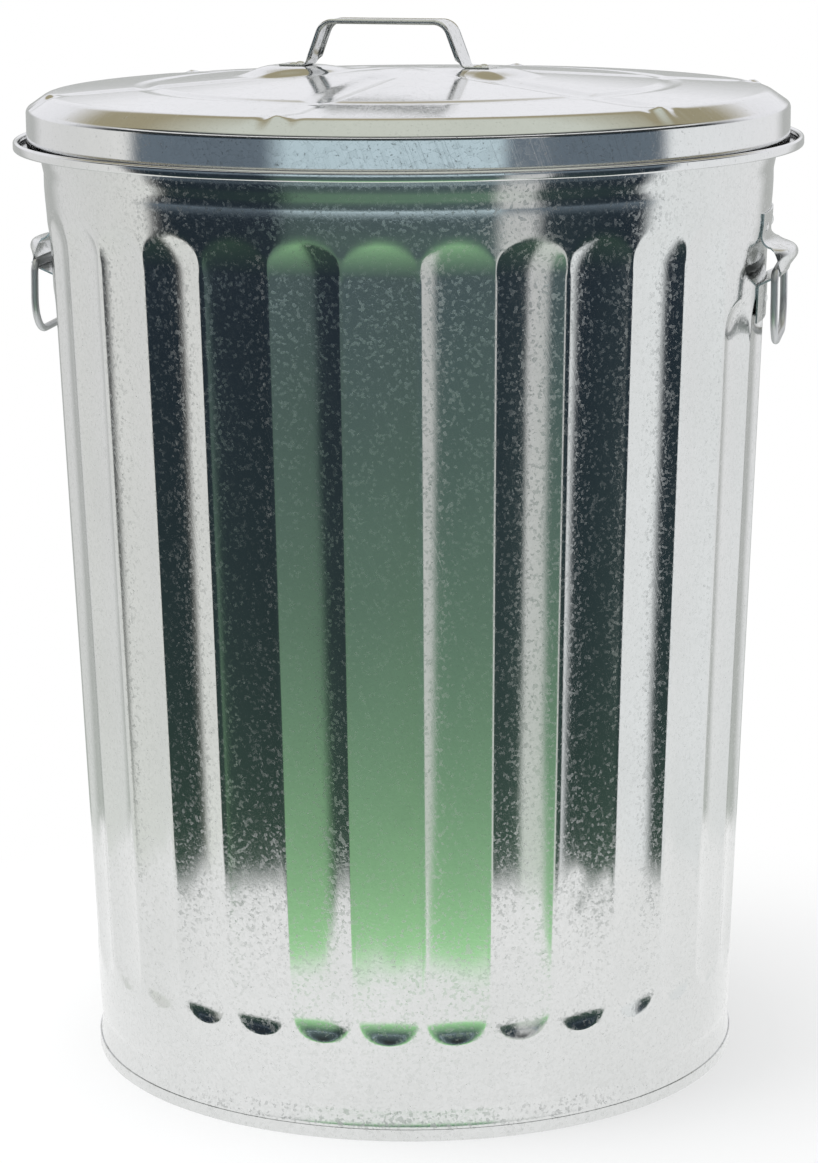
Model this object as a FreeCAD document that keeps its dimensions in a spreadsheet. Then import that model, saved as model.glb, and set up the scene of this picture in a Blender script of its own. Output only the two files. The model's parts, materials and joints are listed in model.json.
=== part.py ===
"""Galvanized trash can with a loose lid: ribbed wall, seamed pan, wired rim, side bails and a pressed lid.

Millimetres, +Z up, origin on the floor at the centre of the base, the two bails on +X and -X, front on -Y.
"""
import FreeCAD
import Part
import Sketcher

import math
import os

os.makedirs("parts", exist_ok=True)
doc = FreeCAD.newDocument("trash_can")
Vector = FreeCAD.Vector
Z_AXIS = Vector(0, 0, 1)

# ---------------------------------------------------------------- driving dimensions
DIMENSIONS = {
    # sheet metal and wire
    "wall_sheet": 0.8,
    "lid_sheet": 0.8,
    "ear_sheet": 1.2,
    "wire_radius": 2.6,
    "curl_gap": 0.15,
    # tapered wall
    "wall_radius_at_floor": 227.1,
    "wall_taper": 0.0381,
    "wall_low": 34.0,
    "wall_high": 580.0,
    # foot and pan
    "foot_radius": 229.8,
    "foot_height": 8.0,
    "seam_inside_radius": 227.24,
    "seam_gap": 0.08,
    "pan_height": 13.4,
    "wall_bottom_edge": 0.95,
    "waist_radius": 226.8,
    "waist_height": 22.0,
    # plain band, neck and rim
    "band_radius": 252.5,
    "band_low": 601.0,
    "band_high": 629.0,
    "neck_radius": 254.1,
    "neck_high": 637.0,
    "rim_wall_radius": 254.9,
    "rim_height": 671.0,
    # flutes
    "flute_count": 32.0,
    "flute_step": 11.25,
    "flute_depth": 3.38,
    "flute_depth_radius": 247.0,
    "flute_curve": 113.0,
    "flute_end_curve": 60.0,
    "flute_low": 67.0,
    "flute_high": 602.0,
    "flute_high_by_ear": 549.0,
    "flute_half_sweep": 12.0,
    # ears and bails
    "ear_half_width": 38.0,
    "ear_top": 602.5,
    "ear_corner_height": 590.0,
    "ear_bottom": 528.0,
    "ear_clearance": 0.03,
    "bar_radius_position": 258.0,
    "lip_bow": 3.0,
    "bar_height": 563.5,
    "bar_running_gap": 0.2,
    "bail_half_width": 46.0,
    "bail_spread": 1.2,
    "bail_drop": 48.5,
    "bail_low_corner": 24.0,
    "bail_high_corner": 7.0,
    # lid
    "skirt_radius": 263.5,
    "skirt_top": 671.5,
    "shoulder_radius": 249.0,
    "shoulder_height": 687.0,
    "crown_height": 697.6,
    "crown_flat_radius": 95.0,
    "hem_radius": 273.0,
    "hem_low": 644.7,
    "hem_high": 651.5,
    "hem_wire_radius": 1.05,
    "crease_count": 6.0,
    "crease_turn": -39.5,
    "crease_curve": 45.0,
    "crease_depth": 4.0,
    "crease_start": 64.0,
    "ring_crease_radius": 181.0,
    "ring_crease_curve": 20.0,
    "ring_crease_depth": 1.2,
    # lid handle
    "grip_height": 730.2,
    "grip_width": 25.0,
    "grip_sheet": 1.2,
    "grip_curl": 1.7,
    "grip_curl_rise": 0.3,
    "grip_turn": -9.5,
    "grip_shift": -14.5,
    "grip_half_top": 37.0,
    "grip_corner": 13.0,
    "grip_foot_length": 17.0,
    # rivets
    "rivet_head_radius": 3.4,
    "rivet_head_height": 1.1,
    "rivet_shank_radius": 1.6,
}

sheet = doc.addObject("Spreadsheet::Sheet", "Dimensions")
for row, (alias, value) in enumerate(DIMENSIONS.items(), start=1):
    sheet.set("A%d" % row, alias)
    sheet.set("B%d" % row, str(value))
    sheet.setAlias("B%d" % row, alias)
doc.recompute()


class Measure:
    """A length or angle that carries its value and the spreadsheet formula it comes from."""

    def __init__(self, value, text):
        self.value = value
        self.text = text

    def joined(self, sign, other, value):
        """Result of one arithmetic step, as a new measure."""
        return Measure(value, "(%s %s %s)" % (self.text, sign, other.text))

    def __add__(self, other):
        other = measure(other)
        return self.joined("+", other, self.value + other.value)

    def __sub__(self, other):
        other = measure(other)
        return self.joined("-", other, self.value - other.value)

    def __mul__(self, other):
        other = measure(other)
        return self.joined("*", other, self.value * other.value)

    def __truediv__(self, other):
        other = measure(other)
        return self.joined("/", other, self.value / other.value)

    def __radd__(self, other):
        return measure(other) + self

    def __rsub__(self, other):
        return measure(other) - self

    def __rmul__(self, other):
        return measure(other) * self

    def root(self):
        """Square root, as a new measure."""
        return Measure(math.sqrt(self.value), "sqrt(%s)" % self.text)


def measure(thing):
    """A plain number as a measure; a measure stays as it is."""
    if isinstance(thing, Measure):
        return thing
    return Measure(float(thing), "(%.6f)" % thing)


class Sizes:
    """Every driving dimension as a measure, by its alias."""


size = Sizes()
for alias in DIMENSIONS:
    setattr(size, alias, Measure(float(getattr(sheet, alias)), "Dimensions.%s" % alias))


def bind(thing, name, amount):
    """Tie one property to its formula."""
    thing.setExpression(name, measure(amount).text)


def wall_radius(height):
    """Outside radius of the tapered wall at a height."""
    return size.wall_radius_at_floor + size.wall_taper * height


# ---------------------------------------------------------------- sketches
def origin_plane(body, role):
    """One of a body's own origin planes."""
    for feature in body.Origin.OriginFeatures:
        if feature.Role == role:
            return feature
    raise ValueError(role)


def new_sketch(body, name, role="XZ_Plane", offset=None):
    """Empty sketch on an origin plane of the body."""
    sketch = body.newObject("Sketcher::SketchObject", name)
    sketch.AttachmentSupport = [(origin_plane(body, role), "")]
    sketch.MapMode = "FlatFace"
    if offset is not None:
        sketch.AttachmentOffset = offset
    return sketch


def arc_middle(start, end, radius):
    """Middle point of the shorter arc from start to end; a positive radius bulges to the left."""
    chord = end - start
    half = chord.Length / 2.0
    rise = abs(radius) - math.sqrt(max(radius * radius - half * half, 0.0))
    left = Vector(-chord.y, chord.x, 0).normalize()
    return (start + end) * 0.5 + left * math.copysign(rise, radius)


def pin(sketch, index, end, corner):
    """Tie one end of a sketch edge to the origin by the two measures of its corner."""
    for kind, amount in zip(("DistanceX", "DistanceY"), corner):
        amount = measure(amount)
        number = sketch.addConstraint(Sketcher.Constraint(kind, -1, 1, index, end, amount.value))
        bind(sketch, "Constraints[%d]" % number, amount)


def draw(sketch, corners, closed=True, closing_arc=None):
    """Outline through corners (x, y[, radius of the arc that arrives]).

    A positive radius bulges to the left of the travel, a negative one to the right.
    """
    if closing_arc is not None:
        corners = [tuple(corners[0]) + (closing_arc,)] + list(corners[1:])
    points = [Vector(measure(c[0]).value, measure(c[1]).value, 0) for c in corners]
    pairs = list(zip(range(len(corners)), list(range(1, len(corners))) + [0]))
    if not closed:
        pairs = pairs[:-1]
    edges = []
    for start, end in pairs:
        radius = corners[end][2] if len(corners[end]) > 2 else None
        if radius is None:
            edge = Part.LineSegment(points[start], points[end])
            index = sketch.addGeometry(edge, False)
            edges.append((index, 1, 2))
        else:
            radius = measure(radius)
            middle = arc_middle(points[start], points[end], radius.value)
            clockwise = radius.value > 0.0
            first, last = (end, start) if clockwise else (start, end)
            index = sketch.addGeometry(Part.Arc(points[first], middle, points[last]), False)
            edges.append((index, 2, 1) if clockwise else (index, 1, 2))
            bend = sketch.addConstraint(Sketcher.Constraint("Radius", index, abs(radius.value)))
            sketch.setExpression("Constraints[%d]" % bend, "abs(%s)" % radius.text)
    joins = list(zip(edges, edges[1:] + edges[:1])) if closed else list(zip(edges, edges[1:]))
    for (index, _, last), (after, first, _) in joins:
        sketch.addConstraint(Sketcher.Constraint("Coincident", index, last, after, first))
    for number, (index, first, _) in enumerate(edges):
        pin(sketch, index, first, corners[number])
    if not closed:
        pin(sketch, edges[-1][0], edges[-1][2], corners[-1])


def revolve(body, name, sketch, cut=False, angle=360.0, axis=None, midplane=False):
    """Revolution or groove of a sketch about the vertical or about a given axis."""
    kind = "PartDesign::Groove" if cut else "PartDesign::Revolution"
    feature = body.newObject(kind, name)
    feature.Profile = sketch
    feature.ReferenceAxis = axis or (sketch, ["V_Axis"])
    feature.Angle = angle
    feature.Midplane = midplane
    sketch.Visibility = False
    body.Tip = feature
    return feature


def polar(body, name, feature, count, sweep):
    """Copies of a feature about the can's axis."""
    pattern = body.newObject("PartDesign::PolarPattern", name)
    pattern.Originals = [feature]
    pattern.Axis = (origin_line(body, "Z_Axis"), [""])
    pattern.Angle = sweep
    pattern.Occurrences = count
    body.Tip = pattern
    return pattern


def origin_line(body, role):
    """One of a body's own origin axes."""
    for feature in body.Origin.OriginFeatures:
        if feature.Role == role:
            return feature
    raise ValueError(role)


def new_body(label):
    """Empty body with the name of its piece."""
    body = doc.addObject("PartDesign::Body", label)
    body.Label = label
    return body


def volume_check(before, after, what):
    """A cut that takes nothing away is an error."""
    if not after < before - 1.0:
        raise RuntimeError("%s removed nothing: %.1f -> %.1f" % (what, before, after))


# ---------------------------------------------------------------- the can's wall
def wall_outline(inset, low, high):
    """Corners of the wall's form, drawn in by the inset, closed on the axis from low to high."""
    seam = size.foot_radius - size.wall_sheet - size.seam_gap - inset
    corners = [
        (0, low),
        (seam, low),
        (seam, size.foot_height),
        (seam - 0.75, size.foot_height + 4.0),
        (size.waist_radius - inset, size.waist_height),
        (size.waist_radius + 0.15 - inset, size.waist_height + 3.4),
        (wall_radius(size.wall_low) - 0.4 - inset, size.wall_low - 6.0),
        (wall_radius(size.wall_low) - inset, size.wall_low),
        (wall_radius(size.wall_high) - inset, size.wall_high),
        (wall_radius(size.wall_high) + 0.8 - inset, size.wall_high + 8.0),
        (size.band_radius - 1.55 - inset, size.band_low - 6.0),
        (size.band_radius - 1.2 - inset, size.band_low),
        (size.band_radius - 0.4 - inset, size.band_low + 11.0),
        (size.band_radius - inset, size.band_high - 9.0),
        (size.band_radius - inset, size.band_high),
        (size.neck_radius - inset, size.neck_high),
        (size.rim_wall_radius - inset, size.rim_height),
    ]
    if high is not size.rim_height:
        corners.append((size.rim_wall_radius - inset, high))
    corners.append((0, high))
    return corners


def flute_floor(height, inset):
    """Radius of the bottom of a flute at a height."""
    return wall_radius(height) * (1.0 - size.flute_depth / size.flute_depth_radius) - inset


def add_flutes(body, name, inset, first_angle, count, high):
    """A run of upright flutes pressed into the wall, equally spaced from the first angle."""
    end_curve = size.flute_end_curve + inset
    low_depth = wall_radius(size.flute_low) * size.flute_depth / size.flute_depth_radius
    high_depth = wall_radius(high) * size.flute_depth / size.flute_depth_radius
    if high is size.flute_high:
        high_depth = high_depth + 1.4
    low_centre = size.flute_low + (2.0 * size.flute_end_curve * low_depth).root()
    high_centre = high - (2.0 * size.flute_end_curve * high_depth).root()
    turn_in = math.radians(29.0)
    out = end_curve * (1.0 - math.cos(turn_in))
    reach = end_curve * math.sin(turn_in)
    low_floor = flute_floor(low_centre, inset)
    high_floor = flute_floor(high_centre, inset)
    offset = FreeCAD.Placement(Vector(0, 0, 0), FreeCAD.Rotation(Vector(0, 1, 0), first_angle))
    sketch = new_sketch(body, name + "_outline", offset=offset)
    ends = []
    for height in (low_centre, high_centre):
        distance = flute_floor(height, 0.0) + wall_radius(height) * size.flute_curve / size.flute_depth_radius
        ends.append((distance, height))
    start, finish = (Vector(measure(x).value, measure(y).value, 0) for x, y in ends)
    axis = sketch.addGeometry(Part.LineSegment(start, finish), True)
    pin(sketch, axis, 1, ends[0])
    pin(sketch, axis, 2, ends[1])
    draw(sketch, [
        (low_floor, low_centre),
        (high_floor, high_centre),
        (high_floor + out, high_centre + reach, end_curve * -1.0),
        (low_floor + out, low_centre - reach),
    ], closing_arc=end_curve * -1.0)
    groove = revolve(body, name, sketch, cut=True, axis=(sketch, ["Axis0"]), midplane=True)
    bind(groove, "Angle", size.flute_half_sweep * 2.0)
    pattern = polar(body, name + "_run", groove, count, 0.0)
    bind(pattern, "Angle", size.flute_step * (count - 1))
    return pattern


def press_flutes(body, inset):
    """All flutes: long ones round the front and the back, short ones under the two ears."""
    short = 4
    long = int(size.flute_count.value) // 2 - short
    step = size.flute_step.value
    for side, turn in (("right", 0.0), ("left", 180.0)):
        start = turn - step * (short - 1) / 2.0
        add_flutes(body, "short_flute_%s" % side, inset, start, short, size.flute_high_by_ear)
        add_flutes(body, "long_flute_%s" % side, inset, start + step * short, long, size.flute_high)


wall_inside = new_body("wall_inside")
inside_sketch = new_sketch(wall_inside, "wall_inside_outline")
draw(inside_sketch, wall_outline(size.wall_sheet, size.wall_bottom_edge - 5.0, size.rim_height + 10.0))
revolve(wall_inside, "wall_inside_form", inside_sketch)
press_flutes(wall_inside, size.wall_sheet)

wall = new_body("wall")
wall_sketch = new_sketch(wall, "wall_outline")
draw(wall_sketch, wall_outline(measure(0.0), size.wall_bottom_edge, size.rim_height))
revolve(wall, "wall_form", wall_sketch)
doc.recompute()
smooth_volume = wall.Shape.Volume
press_flutes(wall, measure(0.0))
doc.recompute()
volume_check(smooth_volume, wall.Shape.Volume, "the flutes")

hollow = wall.newObject("PartDesign::Boolean", "wall_hollow")
hollow.setObjects([wall_inside])
hollow.Type = "Cut"
wall.Tip = hollow
doc.recompute()
volume_check(smooth_volume / 2.0, wall.Shape.Volume, "the hollow")


# ---------------------------------------------------------------- curled rim and its wire
curl_radius = size.wire_radius + size.curl_gap + size.wall_sheet
curl_inner = size.wire_radius + size.curl_gap
curl_centre = size.rim_wall_radius - size.wall_sheet + curl_radius
curl_sketch = new_sketch(wall, "rim_curl_outline")
draw(curl_sketch, [
    (curl_centre - curl_radius, size.rim_height),
    (curl_centre, size.rim_height + curl_radius, curl_radius),
    (curl_centre + curl_radius, size.rim_height, curl_radius),
    (curl_centre, size.rim_height - curl_radius, curl_radius),
    (curl_centre, size.rim_height - curl_inner),
    (curl_centre + curl_inner, size.rim_height, curl_inner * -1.0),
    (curl_centre, size.rim_height + curl_inner, curl_inner * -1.0),
    (curl_centre - curl_inner, size.rim_height, curl_inner * -1.0),
])
revolve(wall, "rim_curl", curl_sketch)

rim_wire = doc.addObject("Part::Torus", "rim_wire")
rim_wire.Label = "rim_wire"
bind(rim_wire, "Radius1", curl_centre)
bind(rim_wire, "Radius2", size.wire_radius)
bind(rim_wire, "Placement.Base.z", size.rim_height)


# ---------------------------------------------------------------- bottom pan
pan = new_body("bottom_pan")
pan_sketch = new_sketch(pan, "bottom_pan_outline")
edge_round = 0.6
pan_under = size.pan_height - size.wall_sheet
leg_outer = size.seam_inside_radius + size.wall_sheet
draw(pan_sketch, [
    (size.foot_radius, size.foot_height),
    (size.foot_radius, edge_round),
    (size.foot_radius - edge_round, 0, edge_round),
    (size.seam_inside_radius + edge_round, 0),
    (size.seam_inside_radius, edge_round, edge_round),
    (size.seam_inside_radius, size.foot_height - 0.6),
    (size.seam_inside_radius - 1.25, pan_under),
    (0, pan_under),
    (0, size.pan_height),
    (leg_outer - 1.25, size.pan_height),
    (leg_outer, size.foot_height - 0.1),
    (leg_outer, size.wall_sheet),
    (size.foot_radius - size.wall_sheet, size.wall_sheet),
    (size.foot_radius - size.wall_sheet, size.foot_height),
])
revolve(pan, "bottom_pan_form", pan_sketch)


# ---------------------------------------------------------------- sketches outside a body
def free_sketch(name, role="side", shift=Vector(0, 0, 0)):
    """Sketch that stands up: x along +X ("side") or along +Y ("front"), y along +Z."""
    sketch = doc.addObject("Sketcher::SketchObject", name)
    turn = FreeCAD.Rotation(Vector(1, 0, 0), 90)
    if role == "front":
        turn = FreeCAD.Rotation(Vector(1, 1, 1), 120)
    sketch.Placement = FreeCAD.Placement(shift, turn)
    return sketch


def strip(name, sketch, offset):
    """Face of sheet metal laid on one side of an open line; the offset's sign picks the side."""
    face = doc.addObject("Part::Offset2D", name)
    face.Source = sketch
    face.Mode = "Skin"
    face.Join = "Arc"
    face.Fill = True
    bind(face, "Value", offset)
    return face


def cut(label, base, tool):
    """One shape taken from another."""
    feature = doc.addObject("Part::Cut", label)
    feature.Base = base
    feature.Tool = tool
    feature.Label = label
    return feature


def group(label, pieces):
    """Several separate solids under one name."""
    feature = doc.addObject("Part::Compound", label)
    feature.Links = pieces
    feature.Label = label
    return feature


# ---------------------------------------------------------------- ears
def ear_line():
    """Wall side of the ear's section from its lower edge, round the bar and the nose, to its top."""
    lip = size.bar_radius_position + size.lip_bow
    height = size.bar_height
    hold = size.wire_radius + size.bar_running_gap
    low_wall = wall_radius(size.ear_bottom) + size.ear_clearance
    bend_height = size.ear_bottom + 24.6
    bend_wall = wall_radius(bend_height) + size.ear_clearance
    band = size.band_radius + size.ear_clearance
    return [
        (low_wall, size.ear_bottom),
        (bend_wall, bend_height),
        (bend_wall + 1.73, bend_height + 2.6, 3.0),
        (lip + hold * 0.423, height - hold * 0.906),
        (lip + hold, height, hold * -1.0),
        (lip + hold + 0.43, height + 1.31, 2.2),
        (lip + 7.65, height + 7.28),
        (lip + 5.36, height + 13.26, -3.8),
        (lip - 3.75, height + 15.15),
        (band - 2.4, height + 25.1, 9.0),
        (band - 1.48, height + 31.5),
        (band - 1.03, size.ear_top),
    ]


ear_sketch = free_sketch("ear_line")
draw(ear_sketch, ear_line(), closed=False)
ear_face = strip("ear_face", ear_sketch, size.ear_sheet * -1.0)
ear_strip = doc.addObject("Part::Revolution", "ear_strip")
ear_strip.Source = ear_face
ear_strip.Axis = Z_AXIS
ear_strip.Base = Vector(0, 0, 0)
ear_strip.Symmetric = True
ear_strip.Solid = False
ear_sweep = size.ear_half_width / size.bar_radius_position * (2.0 * 180.0 / math.pi)
bind(ear_strip, "Angle", ear_sweep)

ear_crown = free_sketch("ear_crown", role="front")
crown_rise = size.ear_top - size.ear_corner_height
draw(ear_crown, [
    (size.ear_half_width * -1.5, size.ear_bottom - 5.0),
    (size.ear_half_width * 1.5, size.ear_bottom - 5.0),
    (size.ear_half_width * 1.5, size.ear_corner_height),
    (size.ear_half_width, size.ear_corner_height),
    (size.ear_half_width * -1.0, size.ear_corner_height,
     (size.ear_half_width * size.ear_half_width + crown_rise * crown_rise) / (crown_rise * 2.0) * -1.0),
    (size.ear_half_width * -1.5, size.ear_corner_height),
])
ear_block = doc.addObject("Part::Extrusion", "ear_block")
ear_block.Base = ear_crown
ear_block.Dir = Vector(1, 0, 0)
ear_block.DirMode = "Custom"
ear_block.Solid = True
bind(ear_block, "LengthFwd", size.band_radius * 1.2)
ear_pressed = doc.addObject("Part::MultiCommon", "ear_pressed")
ear_pressed.Shapes = [ear_strip, ear_block]


# ---------------------------------------------------------------- rivets
def make_rivet(name, placement, stack, hole=False):
    """Low-headed rivet along +X with its head base at the placement, or the hole for its shank."""
    body = new_body(name)
    sketch = new_sketch(body, name + "_outline")
    shank = size.rivet_shank_radius
    if hole:
        shank = shank + 0.03
        draw(sketch, [
            (-2.0 * stack.value, 0),
            (-2.0 * stack.value, shank),
            (2.0 * stack.value, shank),
            (2.0 * stack.value, 0),
        ])
    else:
        back = stack * -1.0 - 0.15
        head = size.rivet_head_radius
        height = size.rivet_head_height
        draw(sketch, [
            (back - 0.9, 0),
            (back - 0.9, shank * 1.5),
            (back, shank * 1.5),
            (back, shank),
            (0.02, shank),
            (0.02, head),
            (height + 0.02, 0, (head * head + height * height) / (height * 2.0)),
        ])
    revolve(body, name + "_form", sketch, axis=(sketch, ["H_Axis"]))
    body.Placement = placement
    return body


def ear_rivet_places():
    """Head seats on the right ear: one low on the middle rib, two high on the plain band."""
    places = []
    thick = size.ear_sheet.value
    low = size.ear_bottom.value + 13.0
    high = size.bar_height.value + 28.9
    middle = size.band_radius.value + size.ear_clearance.value - 1.84
    spots = (
        (wall_radius(low).value + size.ear_clearance.value, low, 2.2, 0.0),
        (middle, high, 8.2, 5.0),
        (middle, high, 8.2, -5.0),
    )
    for distance, height, lean, angle in spots:
        turn = FreeCAD.Rotation(Z_AXIS, angle) * FreeCAD.Rotation(Vector(0, 1, 0), lean)
        around = FreeCAD.Rotation(Z_AXIS, angle)
        seat = around.multVec(Vector(distance, 0, height)) + turn.multVec(Vector(thick, 0, 0))
        places.append(FreeCAD.Placement(seat, turn))
    return places


def turned(placement, angle):
    """Placement carried round the can's axis."""
    return FreeCAD.Placement(Vector(0, 0, 0), FreeCAD.Rotation(Z_AXIS, angle)) * placement


ear_stack = size.ear_sheet + size.ear_clearance + size.wall_sheet
wall_holes = []
for side, angle in (("right", 0.0), ("left", 180.0)):
    rivets = []
    holes = []
    for number, place in enumerate(ear_rivet_places(), start=1):
        place = turned(place, angle)
        rivets.append(make_rivet("%s_ear_rivet_%d" % (side, number), place, ear_stack))
        holes.append(make_rivet("%s_ear_hole_%d" % (side, number), place, ear_stack, hole=True))
    group("%s_ear_rivets" % side, rivets)
    drill = group("%s_ear_drill" % side, holes)
    blank = ear_pressed
    if angle:
        blank = doc.addObject("Part::Mirroring", "%s_ear_blank" % side)
        blank.Source = ear_pressed
        blank.Normal = Vector(1, 0, 0)
    cut("%s_ear" % side, blank, drill)
    wall_holes.append(drill)
cut("body_shell", wall, group("wall_drill", wall_holes))


# ---------------------------------------------------------------- bails
def loop_corners():
    """Centre line of the bail: bar at the top, two slightly spread legs, low cross wire."""
    half = size.bail_half_width
    low_half = half + size.bail_spread
    top = size.bar_height
    low = top - size.bail_drop
    high_corner = size.bail_high_corner
    low_corner = size.bail_low_corner
    return [
        (0, top),
        (half - high_corner, top),
        (half, top - high_corner, high_corner),
        (low_half, low + low_corner),
        (low_half - low_corner, low, low_corner),
        (low_corner - low_half, low),
        (low_half * -1.0, low + low_corner, low_corner),
        (half * -1.0, top - high_corner),
        (high_corner - half, top, high_corner),
    ]


def draw_ring(sketch, centre, radius):
    """Circle with its centre and radius tied to the sheet."""
    middle = Vector(measure(centre[0]).value, measure(centre[1]).value, 0)
    index = sketch.addGeometry(Part.Circle(middle, Z_AXIS, measure(radius).value), False)
    pin(sketch, index, 3, centre)
    number = sketch.addConstraint(Sketcher.Constraint("Radius", index, measure(radius).value))
    bind(sketch, "Constraints[%d]" % number, radius)


def make_bail(side, sign):
    """Closed wire loop hanging from the bar in its ear."""
    body = new_body("%s_bail" % side)
    path = new_sketch(body, "%s_bail_line" % side, role="YZ_Plane")
    draw(path, loop_corners())
    section = new_sketch(body, "%s_bail_section" % side)
    draw_ring(section, (0, size.bar_height), size.wire_radius)
    loop = body.newObject("PartDesign::AdditivePipe", "%s_bail_loop" % side)
    loop.Profile = section
    loop.Spine = (path, [])
    loop.Transition = "Transformed"
    body.Tip = loop
    bind(body, "Placement.Base.x", size.bar_radius_position * sign)
    return body


make_bail("right", 1.0)
make_bail("left", -1.0)


# ---------------------------------------------------------------- lid
def lid_outline(inset, low):
    """Corners of the lid's form: skirt, sloping shoulder and domed crown, drawn in by the inset."""
    skirt = size.skirt_radius - inset
    slope_in = inset * 0.75
    slope_down = inset * 0.66
    return [
        (0, low),
        (skirt, low),
        (skirt, size.skirt_top - 2.0),
        (skirt - 1.2 + (inset - slope_in), size.skirt_top + 1.5 - slope_down, -5.0),
        (size.shoulder_radius + 1.3 - slope_in, size.shoulder_height - 1.1 - slope_down),
        (size.shoulder_radius - 4.5 - inset * 0.1, size.shoulder_height + 2.0 - inset, inset - 8.0),
        (size.crown_flat_radius, size.crown_height - inset, -1291.0),
        (0, size.crown_height - inset),
    ]


def press_creases(body, inset):
    """Radial valleys between the lid's six panels and the shallow ring that crosses them."""
    offset = FreeCAD.Placement(
        Vector(0, 0, 0), FreeCAD.Rotation(Vector(0, 1, 0), size.crease_turn.value))
    sketch = new_sketch(body, "crease_outline", offset=offset)
    middle = size.crown_height - size.crease_depth
    edge_radius = size.skirt_radius - 1.5
    edge = size.shoulder_height - 1.0
    above = size.crease_curve * 0.5
    ends = [(0, middle + size.crease_curve), (edge_radius, edge + size.crease_curve)]
    start, finish = (Vector(measure(x).value, measure(y).value, 0) for x, y in ends)
    axis = sketch.addGeometry(Part.LineSegment(start, finish), True)
    pin(sketch, axis, 1, ends[0])
    pin(sketch, axis, 2, ends[1])
    start_radius = size.crease_start
    run_in = 24.0
    rise = 7.5
    draw(sketch, [
        (start_radius - run_in, middle + rise - inset),
        (start_radius, middle - inset, (run_in * run_in + rise * rise) / (rise * -2.0)),
        (size.crown_flat_radius - 5.0, middle + 0.5 - inset),
        (edge_radius, edge - inset),
        (edge_radius, edge + above),
        (start_radius - run_in, middle + above),
    ])
    groove = revolve(body, "crease", sketch, cut=True, axis=(sketch, ["Axis0"]), midplane=True)
    groove.Angle = 54.0
    count = int(size.crease_count.value)
    pattern = polar(body, "crease_run", groove, count, 0.0)
    bind(pattern, "Angle", measure(360.0) / size.crease_count * (size.crease_count - 1.0))
    ring_sketch = new_sketch(body, "ring_crease_outline")
    ring_top = size.crown_height - 2.86
    radius = size.ring_crease_curve + inset
    draw_ring(ring_sketch, (size.ring_crease_radius,
                            ring_top - size.ring_crease_depth + size.ring_crease_curve), radius)
    revolve(body, "ring_crease", ring_sketch, cut=True)


lid_inside = new_body("lid_inside")
lid_inside_sketch = new_sketch(lid_inside, "lid_inside_outline")
draw(lid_inside_sketch, lid_outline(size.lid_sheet, size.hem_low - 5.0))
revolve(lid_inside, "lid_inside_form", lid_inside_sketch)
press_creases(lid_inside, size.lid_sheet)

lid = new_body("lid")
lid_sketch = new_sketch(lid, "lid_outline")
draw(lid_sketch, lid_outline(measure(0.0), size.hem_low))
revolve(lid, "lid_form", lid_sketch)
doc.recompute()
smooth_volume = lid.Shape.Volume
press_creases(lid, measure(0.0))
doc.recompute()
volume_check(smooth_volume, lid.Shape.Volume, "the creases")
lid_hollow = lid.newObject("PartDesign::Boolean", "lid_hollow")
lid_hollow.setObjects([lid_inside])
lid_hollow.Type = "Cut"
lid.Tip = lid_hollow
doc.recompute()
volume_check(smooth_volume / 2.0, lid.Shape.Volume, "the lid's hollow")

hem_curl = size.hem_wire_radius + size.lid_sheet
hem_centre = size.hem_radius - hem_curl
hem_middle = size.hem_high - hem_curl
hem_sketch = new_sketch(lid, "lid_hem_outline")
hem_floor = size.hem_low + size.lid_sheet
draw(hem_sketch, [
    (size.skirt_radius - size.lid_sheet, size.hem_low),
    (size.hem_radius - 1.2, size.hem_low),
    (size.hem_radius, size.hem_low + 1.2, -1.2),
    (size.hem_radius, hem_middle),
    (hem_centre, size.hem_high, hem_curl * -1.0),
    (hem_centre - hem_curl, hem_middle, hem_curl * -1.0),
    (hem_centre - hem_curl, hem_middle - 1.6),
    (hem_centre - size.hem_wire_radius, hem_middle - 1.6),
    (hem_centre - size.hem_wire_radius, hem_middle),
    (hem_centre, hem_middle + size.hem_wire_radius, size.hem_wire_radius),
    (hem_centre + size.hem_wire_radius, hem_middle, size.hem_wire_radius),
    (hem_centre + size.hem_wire_radius, hem_floor + 0.4),
    (hem_centre + size.hem_wire_radius - 0.4, hem_floor, 0.4),
    (size.skirt_radius - size.lid_sheet, hem_floor),
])
revolve(lid, "lid_hem", hem_sketch)

lid_edge_wire = doc.addObject("Part::Torus", "lid_edge_wire")
lid_edge_wire.Label = "lid_edge_wire"
bind(lid_edge_wire, "Radius1", hem_centre)
bind(lid_edge_wire, "Radius2", size.hem_wire_radius - 0.05)
bind(lid_edge_wire, "Placement.Base.z", hem_middle)


# ---------------------------------------------------------------- lid handle
LEG_LEAN = math.radians(21.0)


LEAN_ACROSS = math.cos(LEG_LEAN)
LEAN_UP = math.sin(LEG_LEAN)
FOOT_RISE = 3.2


class Grip:
    """Measures of the strap's line, seen from the side; the underside is its working line."""

    web_depth = size.grip_sheet + size.grip_curl_rise
    bend = size.grip_sheet + 1.5
    corner_height = size.grip_height - size.grip_corner
    corner = size.grip_corner - web_depth
    drop = corner_height - size.crown_height - bend
    foot = size.grip_half_top + (corner + bend + drop * LEAN_UP) / LEAN_ACROSS
    leg_x = foot - bend * LEAN_ACROSS
    leg_z = size.crown_height + bend - bend * LEAN_UP
    joint_x = leg_x - FOOT_RISE * LEAN_UP
    joint_z = leg_z + FOOT_RISE * LEAN_ACROSS


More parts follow.
